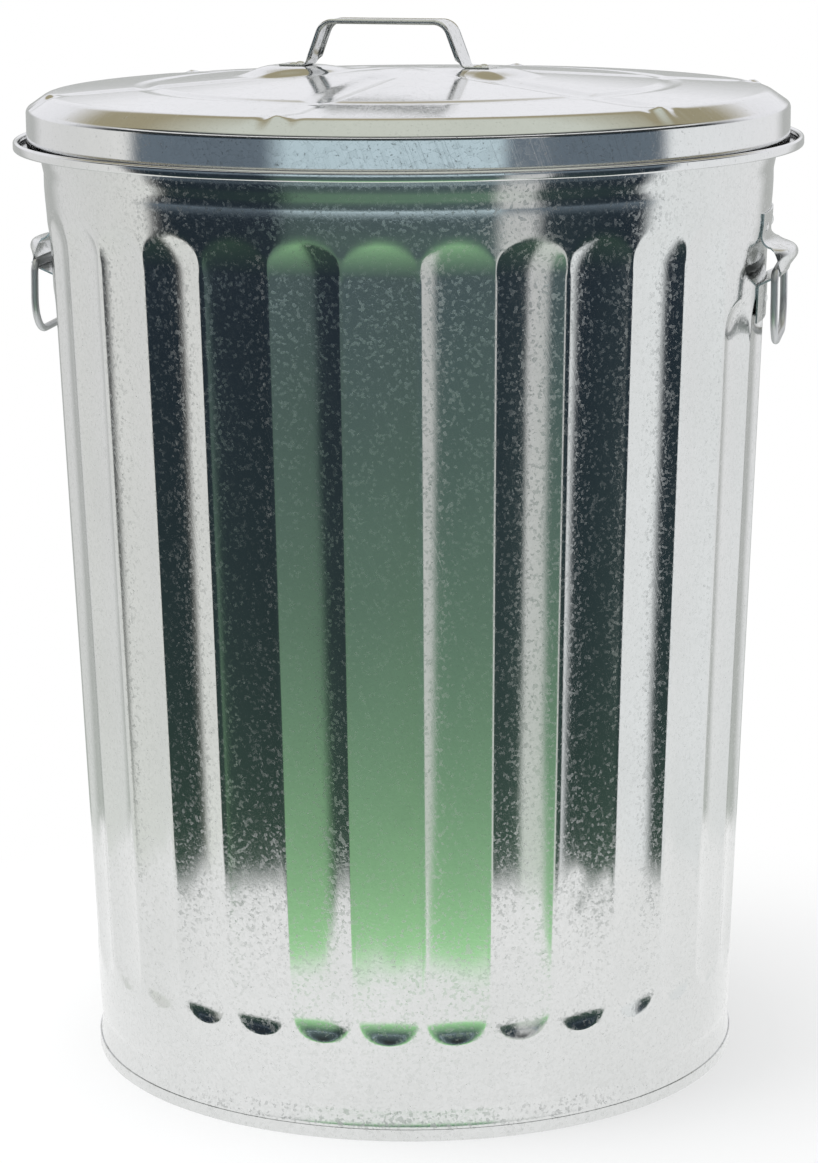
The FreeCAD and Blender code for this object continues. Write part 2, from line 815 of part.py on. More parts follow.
def grip_foot_outline():
    """Side outline of one foot: flat tip, bend, and the short rise to where the rolled edges begin."""
    across = size.grip_sheet * LEAN_ACROSS
    up = size.grip_sheet * LEAN_UP
    tip = Grip.foot + size.grip_foot_length
    return [
        (tip, size.crown_height),
        (Grip.foot, size.crown_height),
        (Grip.leg_x, Grip.leg_z, Grip.bend),
        (Grip.joint_x, Grip.joint_z),
        (Grip.joint_x + across, Grip.joint_z + up),
        (Grip.leg_x + across, Grip.leg_z + up),
        (Grip.foot, size.crown_height + size.grip_sheet, size.grip_sheet - Grip.bend),
        (tip, size.crown_height + size.grip_sheet),
    ]


def grip_bar_line():
    """Line through the rolled edges' centres, up one leg, over the top and down the other."""
    inward = size.grip_curl - Grip.web_depth
    radius = size.grip_corner - size.grip_curl
    top = size.grip_height - size.grip_curl
    start = (Grip.joint_x - inward * LEAN_ACROSS, Grip.joint_z - inward * LEAN_UP)
    turn = (size.grip_half_top + radius * LEAN_ACROSS, Grip.corner_height + radius * LEAN_UP)
    return [
        start,
        turn,
        (size.grip_half_top, top, radius * -1.0),
        (size.grip_half_top * -1.0, top),
        (turn[0] * -1.0, turn[1], radius * -1.0),
        (start[0] * -1.0, start[1]),
    ]


def grip_section():
    """Section of the strap: a thin web between two round rolled edges."""
    roll = size.grip_curl
    centre = size.grip_width / 2.0 - roll
    high = roll - size.grip_curl_rise
    low = high - size.grip_sheet
    high_reach = (roll * roll - high * high).root()
    low_reach = (roll * roll - low * low).root()
    return [
        (centre - high_reach, high),
        (centre, roll, roll),
        (centre + roll, 0, roll),
        (centre, roll * -1.0, roll),
        (centre - low_reach, low, roll),
        (low_reach - centre, low),
        (centre * -1.0, roll * -1.0, roll),
        (centre * -1.0 - roll, 0, roll),
        (centre * -1.0, roll, roll),
        (high_reach - centre, high, roll),
    ]


grip_place = FreeCAD.Placement(Vector(0, 0, 0), FreeCAD.Rotation(Z_AXIS, size.grip_turn.value))
grip_place = grip_place * FreeCAD.Placement(Vector(size.grip_shift.value, 0, 0), FreeCAD.Rotation())
upright = FreeCAD.Placement(Vector(0, 0, 0), FreeCAD.Rotation(Vector(1, 0, 0), 90))

grip_bar = new_body("grip_bar")
bar_line = new_sketch(grip_bar, "grip_bar_line")
bar_corners = grip_bar_line()
draw(bar_line, bar_corners, closed=False)
section_turn = FreeCAD.Rotation(Vector(1, 0, 0), 90.0 - math.degrees(LEG_LEAN))
section_place = FreeCAD.Placement(Vector(0, bar_corners[0][1].value, bar_corners[0][0].value), section_turn)
bar_section = new_sketch(grip_bar, "grip_bar_section", role="YZ_Plane", offset=section_place)
draw(bar_section, grip_section())
bar_sweep = grip_bar.newObject("PartDesign::AdditivePipe", "grip_bar_sweep")
bar_sweep.Profile = bar_section
bar_sweep.Spine = (bar_line, [])
bar_sweep.Transition = "Transformed"
grip_bar.Tip = bar_sweep
grip_bar.Placement = grip_place

grip_parts = [grip_bar]
for side, turn in (("right", 0.0), ("left", 180.0)):
    foot_side = free_sketch("grip_%s_foot_side" % side)
    foot_side.Placement = grip_place * FreeCAD.Placement(Vector(), FreeCAD.Rotation(Z_AXIS, turn)) * upright
    draw(foot_side, grip_foot_outline())
    foot = doc.addObject("Part::Extrusion", "grip_%s_foot" % side)
    foot.Base = foot_side
    foot.Dir = grip_place.Rotation.multVec(Vector(0, 1, 0))
    foot.DirMode = "Custom"
    foot.Symmetric = True
    foot.Solid = True
    bind(foot, "LengthFwd", size.grip_width - size.grip_curl * 2.0)
    grip_parts.append(foot)
grip = doc.addObject("Part::MultiFuse", "grip")
grip.Shapes = grip_parts
grip.Refine = False

lid_stack = size.grip_sheet + size.lid_sheet
seat_height = size.crown_height.value + size.grip_sheet.value
lid_rivets = []
lid_holes = []
for end in (-1.0, 1.0):
    for across in (-6.5, 6.5):
        along = end * (Grip.foot.value + size.grip_foot_length.value * 0.53)
        upward = FreeCAD.Rotation(Vector(0, 1, 0), -90)
        place = grip_place * FreeCAD.Placement(Vector(along, across, seat_height), upward)
        number = len(lid_rivets) + 1
        lid_rivets.append(make_rivet("lid_handle_rivet_%d" % number, place, lid_stack))
        lid_holes.append(make_rivet("lid_handle_hole_%d" % number, place, lid_stack, hole=True))
group("lid_handle_rivets", lid_rivets)
lid_drill = group("lid_drill", lid_holes)
cut("lid_shell", lid, lid_drill)
cut("lid_handle", grip, lid_drill)


# ---------------------------------------------------------------- check and export
NODES = (
    "body_shell",
    "rim_wire",
    "bottom_pan",
    "right_ear",
    "left_ear",
    "right_ear_rivets",
    "left_ear_rivets",
    "right_bail",
    "left_bail",
    "lid_shell",
    "lid_edge_wire",
    "lid_handle",
    "lid_handle_rivets",
)

doc.recompute()
for thing in doc.Objects:
    if "Invalid" in thing.State or "Error" in thing.State:
        raise RuntimeError("%s did not compute: %s" % (thing.Name, thing.State))
for label in NODES:
    piece = doc.getObjectsByLabel(label)[0]
    shape = piece.Shape
    if shape.isNull() or not shape.isValid() or not shape.Solids:
        raise RuntimeError("%s has no valid solid" % label)
    shape.exportStep("parts/%s.step" % label)
    box = shape.optimalBoundingBox(False, False)
    print("%-18s solids %2d volume %9.0f x %.1f..%.1f y %.1f..%.1f z %.1f..%.1f" % (
        label, len(shape.Solids), shape.Volume,
        box.XMin, box.XMax, box.YMin, box.YMax, box.ZMin, box.ZMax))
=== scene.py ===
"""Studio picture of a ribbed galvanized can with wire bails and a loose pressed lid.

Metres, +Z up, origin on the floor at the centre of the base, front on -Y, the two bails on +X and -X.
Sizes inside the classes are millimetres, as on the maker's drawing; meshes are made in metres.
"""
import json
import logging
import math
from dataclasses import dataclass, field
from enum import Enum
from typing import Callable, Iterable, Optional, Sequence

import bpy
import numpy as np
from mathutils import Euler, Matrix, Vector

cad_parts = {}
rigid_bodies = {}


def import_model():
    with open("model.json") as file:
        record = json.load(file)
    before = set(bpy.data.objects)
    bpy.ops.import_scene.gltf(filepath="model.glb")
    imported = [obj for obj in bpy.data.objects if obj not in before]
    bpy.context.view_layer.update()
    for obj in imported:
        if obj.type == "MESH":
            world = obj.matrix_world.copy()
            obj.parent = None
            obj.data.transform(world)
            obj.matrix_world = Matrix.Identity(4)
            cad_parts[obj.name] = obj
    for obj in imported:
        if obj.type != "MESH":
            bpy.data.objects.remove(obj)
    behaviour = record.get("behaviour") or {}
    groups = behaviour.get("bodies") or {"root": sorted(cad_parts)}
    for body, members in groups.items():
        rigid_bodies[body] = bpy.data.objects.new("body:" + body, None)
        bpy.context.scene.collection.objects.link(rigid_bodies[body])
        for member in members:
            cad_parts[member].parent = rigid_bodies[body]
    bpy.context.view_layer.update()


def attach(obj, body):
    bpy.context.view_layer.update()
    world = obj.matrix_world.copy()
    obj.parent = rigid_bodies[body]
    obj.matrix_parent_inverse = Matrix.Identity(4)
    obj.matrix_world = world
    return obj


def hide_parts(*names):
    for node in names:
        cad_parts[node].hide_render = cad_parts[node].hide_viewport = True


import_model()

LOG = logging.getLogger("can")
MM = 0.001
Point = tuple[float, float]
CAMERA_TURN = 10.0


class Slot(Enum):
    """Material slots of the part's record."""

    SHEET = "galvanized_sheet"
    WIRE = "galvanized_wire"
    LID = "lid_sheet"


class Carrier(Enum):
    """Bodies that move as one."""

    CAN = "can"
    LID = "lid"
    RIGHT_BAIL = "right_bail_body"
    LEFT_BAIL = "left_bail_body"


# ---------------------------------------------------------------- node helpers
class Graph:
    """Short way to place and join nodes in one node tree."""

    def __init__(self, tree: bpy.types.NodeTree) -> None:
        """Keep the tree that nodes are added to.

        Args:
            tree: Tree of a material, a world or a node group.
        """
        self.tree = tree

    def add(self, kind: str, **values: object) -> bpy.types.Node:
        """Place one node.

        Args:
            kind: Blender's class name of the node.
            values: Properties of the node, and input values under the name ``in_INDEX``.

        Returns:
            The new node.
        """
        node = self.tree.nodes.new(kind)
        for name, value in values.items():
            if name.startswith("in_"):
                node.inputs[int(name[3:])].default_value = value
            else:
                setattr(node, name, value)
        return node

    def join(self, source: bpy.types.NodeSocket, target: bpy.types.NodeSocket) -> None:
        """Link an output to an input."""
        self.tree.links.new(source, target)

    def feed(self, value: object, target: bpy.types.NodeSocket) -> None:
        """Give an input either a link or a plain value."""
        if isinstance(value, bpy.types.NodeSocket):
            self.join(value, target)
        else:
            target.default_value = value

    def math(self, operation: str, first: object, second: object = 0.0,
             third: object = None) -> bpy.types.NodeSocket:
        """Place a math node.

        Args:
            operation: Name of the operation.
            first: First operand, a socket or a number.
            second: Second operand.
            third: Third operand of the operations that have one.

        Returns:
            The output socket.
        """
        node = self.add("ShaderNodeMath", operation=operation)
        self.feed(first, node.inputs[0])
        self.feed(second, node.inputs[1])
        if third is not None:
            self.feed(third, node.inputs[2])
        return node.outputs[0]

    def span(self, value: object, low: float, high: float, to_low: float = 0.0,
             to_high: float = 1.0) -> bpy.types.NodeSocket:
        """Map one range onto another, clamped.

        Returns:
            The output socket.
        """
        node = self.add("ShaderNodeMapRange", clamp=True)
        self.feed(value, node.inputs["Value"])
        for name, number in (("From Min", low), ("From Max", high), ("To Min", to_low), ("To Max", to_high)):
            node.inputs[name].default_value = number
        return node.outputs["Result"]

    def ramp(self, value: object, stops: Sequence[tuple[float, tuple[float, float, float]]],
             smooth: bool = False) -> bpy.types.NodeSocket:
        """Place a colour ramp.

        Args:
            value: What drives the ramp.
            stops: Positions and colours in order.
            smooth: True for eased steps between the stops.

        Returns:
            The colour output.
        """
        node = self.add("ShaderNodeValToRGB")
        node.color_ramp.interpolation = "EASE" if smooth else "LINEAR"
        elements = node.color_ramp.elements
        while len(elements) > 1:
            elements.remove(elements[-1])
        elements[0].position = stops[0][0]
        elements[0].color = (*stops[0][1], 1.0)
        for position, colour in stops[1:]:
            element = elements.new(position)
            element.color = (*colour, 1.0)
        self.feed(value, node.inputs[0])
        return node.outputs[0]

    def mix(self, factor: object, first: object, second: object,
            blend: str = "MIX") -> bpy.types.NodeSocket:
        """Mix two colours.

        Returns:
            The colour output.
        """
        node = self.add("ShaderNodeMix", data_type="RGBA", blend_type=blend)
        self.feed(factor, node.inputs[0])
        self.feed(first, node.inputs[6])
        self.feed(second, node.inputs[7])
        return node.outputs[2]


class SharedEffect:
    """Node group that several finishes use, built once."""

    name = "effect"
    sockets_in: tuple[tuple[str, float], ...] = ()
    sockets_out: tuple[str, ...] = ()

    def tree(self) -> bpy.types.NodeTree:
        """The node group, made on first use."""
        known = bpy.data.node_groups.get(self.name)
        if known is not None:
            return known
        tree = bpy.data.node_groups.new(self.name, "ShaderNodeTree")
        tree.interface.new_socket("Vector", in_out="INPUT", socket_type="NodeSocketVector")
        for name, value in self.sockets_in:
            socket = tree.interface.new_socket(name, in_out="INPUT", socket_type="NodeSocketFloat")
            socket.default_value = value
        for name in self.sockets_out:
            tree.interface.new_socket(name, in_out="OUTPUT", socket_type="NodeSocketFloat")
        graph = Graph(tree)
        entry = graph.add("NodeGroupInput")
        leave = graph.add("NodeGroupOutput")
        self.fill(graph, entry, leave)
        return tree

    def fill(self, graph: Graph, entry: bpy.types.Node, leave: bpy.types.Node) -> None:
        """Place the group's own nodes."""
        raise NotImplementedError

    def place(self, graph: Graph, vector: bpy.types.NodeSocket, **values: float) -> bpy.types.Node:
        """Put the group into a material.

        Args:
            graph: The material's graph.
            vector: Coordinates that the effect follows.
            values: Values of the group's inputs, by name with underscores for spaces.

        Returns:
            The group node.
        """
        node = graph.add("ShaderNodeGroup", node_tree=self.tree())
        graph.join(vector, node.inputs["Vector"])
        for name, value in values.items():
            node.inputs[name.replace("_", " ")].default_value = value
        return node


class Spangle(SharedEffect):
    """Zinc crystals: a patchwork of slightly different greys, with faint edges."""

    name = "zinc_spangle"
    sockets_in = (("Scale", 220.0), ("Cloud Scale", 9.0))
    sockets_out = ("Grain", "Edge", "Cloud")

    def fill(self, graph: Graph, entry: bpy.types.Node, leave: bpy.types.Node) -> None:
        """Crystals from cells, clouds from slow noise."""
        warp = graph.add("ShaderNodeTexNoise", in_2=90.0, in_3=2.0)
        graph.join(entry.outputs["Vector"], warp.inputs["Vector"])
        shift = graph.add("ShaderNodeVectorMath", operation="MULTIPLY_ADD")
        graph.join(warp.outputs["Color"], shift.inputs[0])
        shift.inputs[1].default_value = (0.004, 0.004, 0.004)
        graph.join(entry.outputs["Vector"], shift.inputs[2])
        cells = graph.add("ShaderNodeTexVoronoi", feature="F1")
        graph.join(shift.outputs[0], cells.inputs["Vector"])
        graph.join(entry.outputs["Scale"], cells.inputs["Scale"])
        grey = graph.add("ShaderNodeSeparateColor")
        graph.join(cells.outputs["Color"], grey.inputs[0])
        graph.join(grey.outputs[0], leave.inputs["Grain"])
        borders = graph.add("ShaderNodeTexVoronoi", feature="DISTANCE_TO_EDGE")
        graph.join(shift.outputs[0], borders.inputs["Vector"])
        graph.join(entry.outputs["Scale"], borders.inputs["Scale"])
        graph.join(graph.span(borders.outputs["Distance"], 0.0, 0.06, 1.0, 0.0), leave.inputs["Edge"])
        cloud = graph.add("ShaderNodeTexNoise", in_3=3.0)
        graph.join(entry.outputs["Vector"], cloud.inputs["Vector"])
        graph.join(entry.outputs["Cloud Scale"], cloud.inputs["Scale"])
        graph.join(cloud.outputs[0], leave.inputs["Cloud"])


class Scuffs(SharedEffect):
    """Fine handling scratches that run mostly one way, and small specks of dull zinc."""

    name = "handling_scuffs"
    sockets_in = (("Along", 9.0), ("Across", 900.0), ("Slant", 0.35), ("Speck Scale", 600.0))
    sockets_out = ("Scratch", "Speck")

    def fill(self, graph: Graph, entry: bpy.types.Node, leave: bpy.types.Node) -> None:
        """Stretched noise for the scratches, thresholded noise for the specks."""
        parts = graph.add("ShaderNodeSeparateXYZ")
        graph.join(entry.outputs["Vector"], parts.inputs[0])
        turn = graph.math("ARCTAN2", parts.outputs[1], parts.outputs[0])
        lean = graph.math("MULTIPLY_ADD", parts.outputs[2], entry.outputs["Slant"],
                          graph.math("MULTIPLY", turn, 0.25))
        across = graph.math("MULTIPLY", lean, entry.outputs["Across"])
        along = graph.math("MULTIPLY", graph.math("SUBTRACT", parts.outputs[2],
                                                  graph.math("MULTIPLY", turn, 0.06)),
                           entry.outputs["Along"])
        lay = graph.add("ShaderNodeCombineXYZ")
        graph.join(across, lay.inputs[0])
        graph.join(along, lay.inputs[1])
        lines = graph.add("ShaderNodeTexNoise", in_2=1.0, in_3=3.0)
        graph.join(lay.outputs[0], lines.inputs["Vector"])
        graph.join(graph.span(lines.outputs[0], 0.56, 0.72), leave.inputs["Scratch"])
        specks = graph.add("ShaderNodeTexNoise", in_3=2.0)
        graph.join(entry.outputs["Vector"], specks.inputs["Vector"])
        graph.join(entry.outputs["Speck Scale"], specks.inputs["Scale"])
        graph.join(graph.span(specks.outputs[0], 0.62, 0.74), leave.inputs["Speck"])


@dataclass(frozen=True)
class ZincFinish:
    """Hot-dip zinc on steel.

    Attributes:
        name: Name of the material.
        colour: Reflectance of the clean metal.
        dull: Reflectance of the dull patches.
        gloss: Roughness of the clean metal.
        gloss_spread: How much the crystals change the roughness.
        crystal: Crystals per metre.
        crystal_contrast: How much the crystals change the colour.
        scratch: Strength of the scratches.
        speck_gloss: Extra roughness of the few dull crystals.
        relief: Height of the surface's fine relief in metres.
    """

    name: str
    colour: tuple[float, float, float] = (0.745, 0.755, 0.75)
    dull: tuple[float, float, float] = (0.60, 0.615, 0.60)
    gloss: float = 0.17
    gloss_spread: float = 0.06
    crystal: float = 260.0
    crystal_contrast: float = 0.10
    scratch: float = 0.12
    speck_gloss: float = 0.12
    relief: float = 0.00002

    def material(self) -> bpy.types.Material:
        """Build the material, once.

        Returns:
            The material, ready to assign.
        """
        known = bpy.data.materials.get(self.name)
        if known is not None:
            return known
        material = bpy.data.materials.new(self.name)
        material.use_nodes = True
        material.node_tree.nodes.clear()
        graph = Graph(material.node_tree)
        output = graph.add("ShaderNodeOutputMaterial")
        metal = graph.add("ShaderNodeBsdfPrincipled")
        metal.inputs["Metallic"].default_value = 1.0
        graph.join(metal.outputs[0], output.inputs[0])
        place = graph.add("ShaderNodeTexCoord")
        crystals = Spangle().place(graph, place.outputs["Object"], Scale=self.crystal)
        scuffs = Scuffs().place(graph, place.outputs["Object"])
        clean = graph.mix(graph.math("MULTIPLY", crystals.outputs["Grain"], self.crystal_contrast * 3.0),
                          (*self.colour, 1.0), (*self.dull, 1.0))
        cloudy = graph.mix(graph.span(crystals.outputs["Cloud"], 0.45, 0.75, 0.0, 0.30),
                           clean, (*self.dull, 1.0))
        marked = graph.mix(graph.math("MULTIPLY", scuffs.outputs["Scratch"], self.scratch),
                           cloudy, (0.86, 0.87, 0.88, 1.0))
        specked = graph.mix(graph.math("MULTIPLY", scuffs.outputs["Speck"], 0.35),
                            marked, (0.42, 0.43, 0.42, 1.0))
        graph.join(specked, metal.inputs["Base Color"])
        rough = graph.math("MULTIPLY_ADD", crystals.outputs["Grain"], self.gloss_spread, self.gloss)
        dulled = graph.span(crystals.outputs["Grain"], 0.80, 0.86)
        rough = graph.math("MULTIPLY_ADD", dulled, self.speck_gloss, rough)
        rough = graph.math("MULTIPLY_ADD", scuffs.outputs["Speck"], 0.18, rough)
        rough = graph.math("MULTIPLY_ADD", scuffs.outputs["Scratch"], self.scratch * 0.5, rough)
        graph.join(rough, metal.inputs["Roughness"])
        height = graph.math("MULTIPLY_ADD", crystals.outputs["Edge"], -0.3, crystals.outputs["Grain"])
        height = graph.math("MULTIPLY_ADD", scuffs.outputs["Scratch"], -0.8, height)
        bump = graph.add("ShaderNodeBump")
        bump.inputs["Strength"].default_value = 0.35
        bump.inputs["Distance"].default_value = self.relief
        graph.join(height, bump.inputs["Height"])
        graph.join(bump.outputs[0], metal.inputs["Normal"])
        return material


BODY_FINISH = ZincFinish("galvanized_body", gloss=0.065, crystal=520.0)
PAN_FINISH = ZincFinish("galvanized_pan", gloss=0.12, crystal=430.0)
EAR_FINISH = ZincFinish("galvanized_ear", gloss=0.12, crystal=420.0)
WIRE_FINISH = ZincFinish("galvanized_wire", gloss=0.20, crystal=700.0, crystal_contrast=0.06,
                         speck_gloss=0.12)
LID_FINISH = ZincFinish("galvanized_lid", colour=(0.77, 0.775, 0.78), gloss=0.075, scratch=0.2, gloss_spread=0.02,
                        crystal_contrast=0.03, speck_gloss=0.02)
GRIP_FINISH = ZincFinish("galvanized_grip", gloss=0.12, crystal=420.0)
FINISH_OF_SLOT = {Slot.SHEET: PAN_FINISH, Slot.WIRE: WIRE_FINISH, Slot.LID: LID_FINISH}


# ---------------------------------------------------------------- shape helpers
def arc(start: Point, end: Point, radius: float, steps: int = 8) -> list[Point]:
    """Points of an arc after its start; a positive radius bulges to the left of the travel.

    Args:
        start: First point.
        end: Last point.
        radius: Signed radius.
        steps: Number of pieces.

    Returns:
        The points, the end included and the start left out.
    """
    chord = Vector(end) - Vector(start)
    half = chord.length / 2.0
    size = abs(radius)
    sign = math.copysign(1.0, radius)
    left = Vector((-chord.y, chord.x)).normalized()
    centre = (Vector(start) + Vector(end)) / 2.0 - left * sign * math.sqrt(max(size * size - half * half, 0.0))
    first = math.atan2(start[1] - centre.y, start[0] - centre.x)
    last = math.atan2(end[1] - centre.y, end[0] - centre.x)
    sweep = last - first
    if sign > 0.0:
        sweep = -((-sweep) % math.tau)
    else:
        sweep = sweep % math.tau
    return [(centre.x + size * math.cos(first + sweep * step / steps),
             centre.y + size * math.sin(first + sweep * step / steps)) for step in range(1, steps + 1)]


def outline(corners: Sequence[tuple[float, ...]], steps: int = 8) -> list[Point]:
    """Open outline through corners; a third number is the radius of the arc that arrives."""
    points: list[Point] = [(corners[0][0], corners[0][1])]
    for corner in corners[1:]:
        if len(corner) > 2:
            points.extend(arc(points[-1], (corner[0], corner[1]), corner[2], steps))
        else:
            points.append((corner[0], corner[1]))
    return points


def beside(points: Sequence[Point], distance: float) -> list[Point]:
    """Line beside an open line, at a distance to the right of the travel."""
    result: list[Point] = []
    for number, point in enumerate(points):
        before = points[max(number - 1, 0)]
        after = points[min(number + 1, len(points) - 1)]
        first = Vector((point[0] - before[0], point[1] - before[1]))
        second = Vector((after[0] - point[0], after[1] - point[1]))
        first = first.normalized() if first.length > 1e-9 else second.normalized()
        second = second.normalized() if second.length > 1e-9 else first
        way = (first + second).normalized()
        miter = 1.0 / max(way.dot(first), 0.5)
        result.append((point[0] + way.y * distance * miter, point[1] - way.x * distance * miter))
    return result


def make_object(name: str, vertices: np.ndarray, faces: Iterable[Sequence[int]],
                finish: ZincFinish, smooth_angle: float = 40.0) -> bpy.types.Object:
    """Object from corners in millimetres.

    Args:
        name: Name of the piece.
        vertices: Corners, one row each.
        faces: Corner numbers of each face.
        finish: Finish of the whole piece.
        smooth_angle: Edges sharper than this stay sharp.

    Returns:
        The object, linked to the scene.
    """
    mesh = bpy.data.meshes.new(name)
    mesh.from_pydata((np.asarray(vertices) * MM).tolist(), [], list(faces))
    mesh.validate()
    mesh.update()
    mesh.polygons.foreach_set("use_smooth", [True] * len(mesh.polygons))
    mesh.set_sharp_from_angle(angle=math.radians(smooth_angle))
    mesh.materials.append(finish.material())
    thing = bpy.data.objects.new(name, mesh)
    bpy.context.scene.collection.objects.link(thing)
    return thing


def grid_faces(rows: int, columns: int, wrap_rows: bool, wrap_columns: bool,
               flip: bool = False) -> list[tuple[int, int, int, int]]:
    """Faces of a grid whose corner numbers run along the columns first."""
    faces = []
    for row in range(rows if wrap_rows else rows - 1):
        above = (row + 1) % rows
        for column in range(columns if wrap_columns else columns - 1):
            right = (column + 1) % columns
            face = (row * columns + column, row * columns + right,
                    above * columns + right, above * columns + column)
            faces.append(face[::-1] if flip else face)
    return faces


def settle(thing: bpy.types.Object, carrier: Carrier, slot: Slot, *nodes: str) -> bpy.types.Object:
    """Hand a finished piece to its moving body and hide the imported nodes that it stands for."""
    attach(thing, carrier.value)
    if nodes:
        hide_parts(*nodes)
    LOG.info("%s: %d faces, rides on %s", thing.name, len(thing.data.polygons), carrier.value)
    return thing


def lathe(name: str, section: Sequence[Point], finish: ZincFinish, columns: int = 256,
          smooth_angle: float = 40.0) -> bpy.types.Object:
    """Closed section turned about the can's axis."""
    angles = np.linspace(0.0, math.tau, columns, endpoint=False)
    rows = []
    for radius, height in section:
        rows.append(np.column_stack((radius * np.cos(angles), radius * np.sin(angles),
                                     np.full(columns, height))))
    return make_object(name, np.vstack(rows), grid_faces(len(section), columns, True, True),
                       finish, smooth_angle)


def soft_min(first: np.ndarray, second: np.ndarray, width: float) -> np.ndarray:
    """Smaller of two surfaces with their meeting line rounded over the width."""
    blend = np.maximum(width - np.abs(first - second), 0.0) / width
    return np.minimum(first, second) - blend * blend * width / 4.0


# ---------------------------------------------------------------- wall of the can
@dataclass(frozen=True)
class Flutes:
    """Pressed upright flutes between the rims of the wall.

    Attributes:
        count: Number around the can.
        depth_at: Depth in the middle of a flute at the reference radius.
        reference: Reference radius of the wall.
        cutter: Radius of the pressed trough at the reference radius.
        low: Lower end of every flute.
        high: Upper end of the long flutes.
        short_high: Upper end of the flutes under the ears.
        low_round: Radius of the run-out at the lower end.
        high_round: Radius of the run-out at the upper end.
        blend: Width over which a crest is rounded.
    """

    count: int = 32
    depth_at: float = 3.38
    reference: float = 247.0
    cutter: float = 113.0
    low: float = 67.0
    high: float = 602.0
    short_high: float = 549.0
    low_round: float = 60.0
    high_round: float = 60.0
    blend: float = 0.35

    def centres(self) -> list[tuple[float, bool]]:
        """Angle of each flute in degrees from +X, and whether it stops under an ear."""
        step = 360.0 / self.count
        angles = [step * (number + 0.5) for number in range(self.count)]
        return [(angle, min(abs(angle), abs(angle - 180.0), abs(angle - 360.0)) < 1.6 * step)
                for angle in angles]

    def radius(self, wall: np.ndarray, height: np.ndarray, turn: np.ndarray, short: bool) -> np.ndarray:
        """Radius of one trough.

        Args:
            wall: Radius of the plain wall at each height.
            height: Heights.
            turn: Angles from the middle of the flute in radians.
            short: True for a flute that stops under an ear.

        Returns:
            Radii of the trough, larger than the wall's where there is none.
        """
        cut = self.cutter * wall / self.reference
        depth = wall * self.depth_at / self.reference
        middle = wall - depth + cut
        high = self.short_high if short else self.high
        low_wall = 227.1 + 0.0381 * self.low
        reach_low = math.sqrt(2.0 * self.low_round * low_wall * self.depth_at / self.reference)
        high_wall = 227.1 + 0.0381 * high
        reach_high = math.sqrt(2.0 * self.high_round * high_wall * self.depth_at / self.reference)
        below = np.clip((self.low + reach_low) - height, 0.0, self.low_round * 0.95)
        above = np.clip(height - (high - reach_high), 0.0, self.high_round * 0.95)
        fade = (self.low_round - np.sqrt(self.low_round ** 2 - below ** 2)
                + self.high_round - np.sqrt(self.high_round ** 2 - above ** 2))
        cut = cut - fade
        inside = np.maximum(cut ** 2 - (middle * np.sin(turn)) ** 2, 0.0)
        result = middle * np.cos(turn) - np.sqrt(inside)
        return np.where(inside > 0.0, result, wall + 50.0)


@dataclass(frozen=True)
class Dent:
    """Shallow dent in the wall.

    Attributes:
        turn: Angle from the front towards +X in degrees.
        height: Height of its middle.
        depth: Depth in the middle.
        width: Half width around the can.
        tall: Half height.
    """

    turn: float
    height: float
    depth: float
    width: float
    tall: float


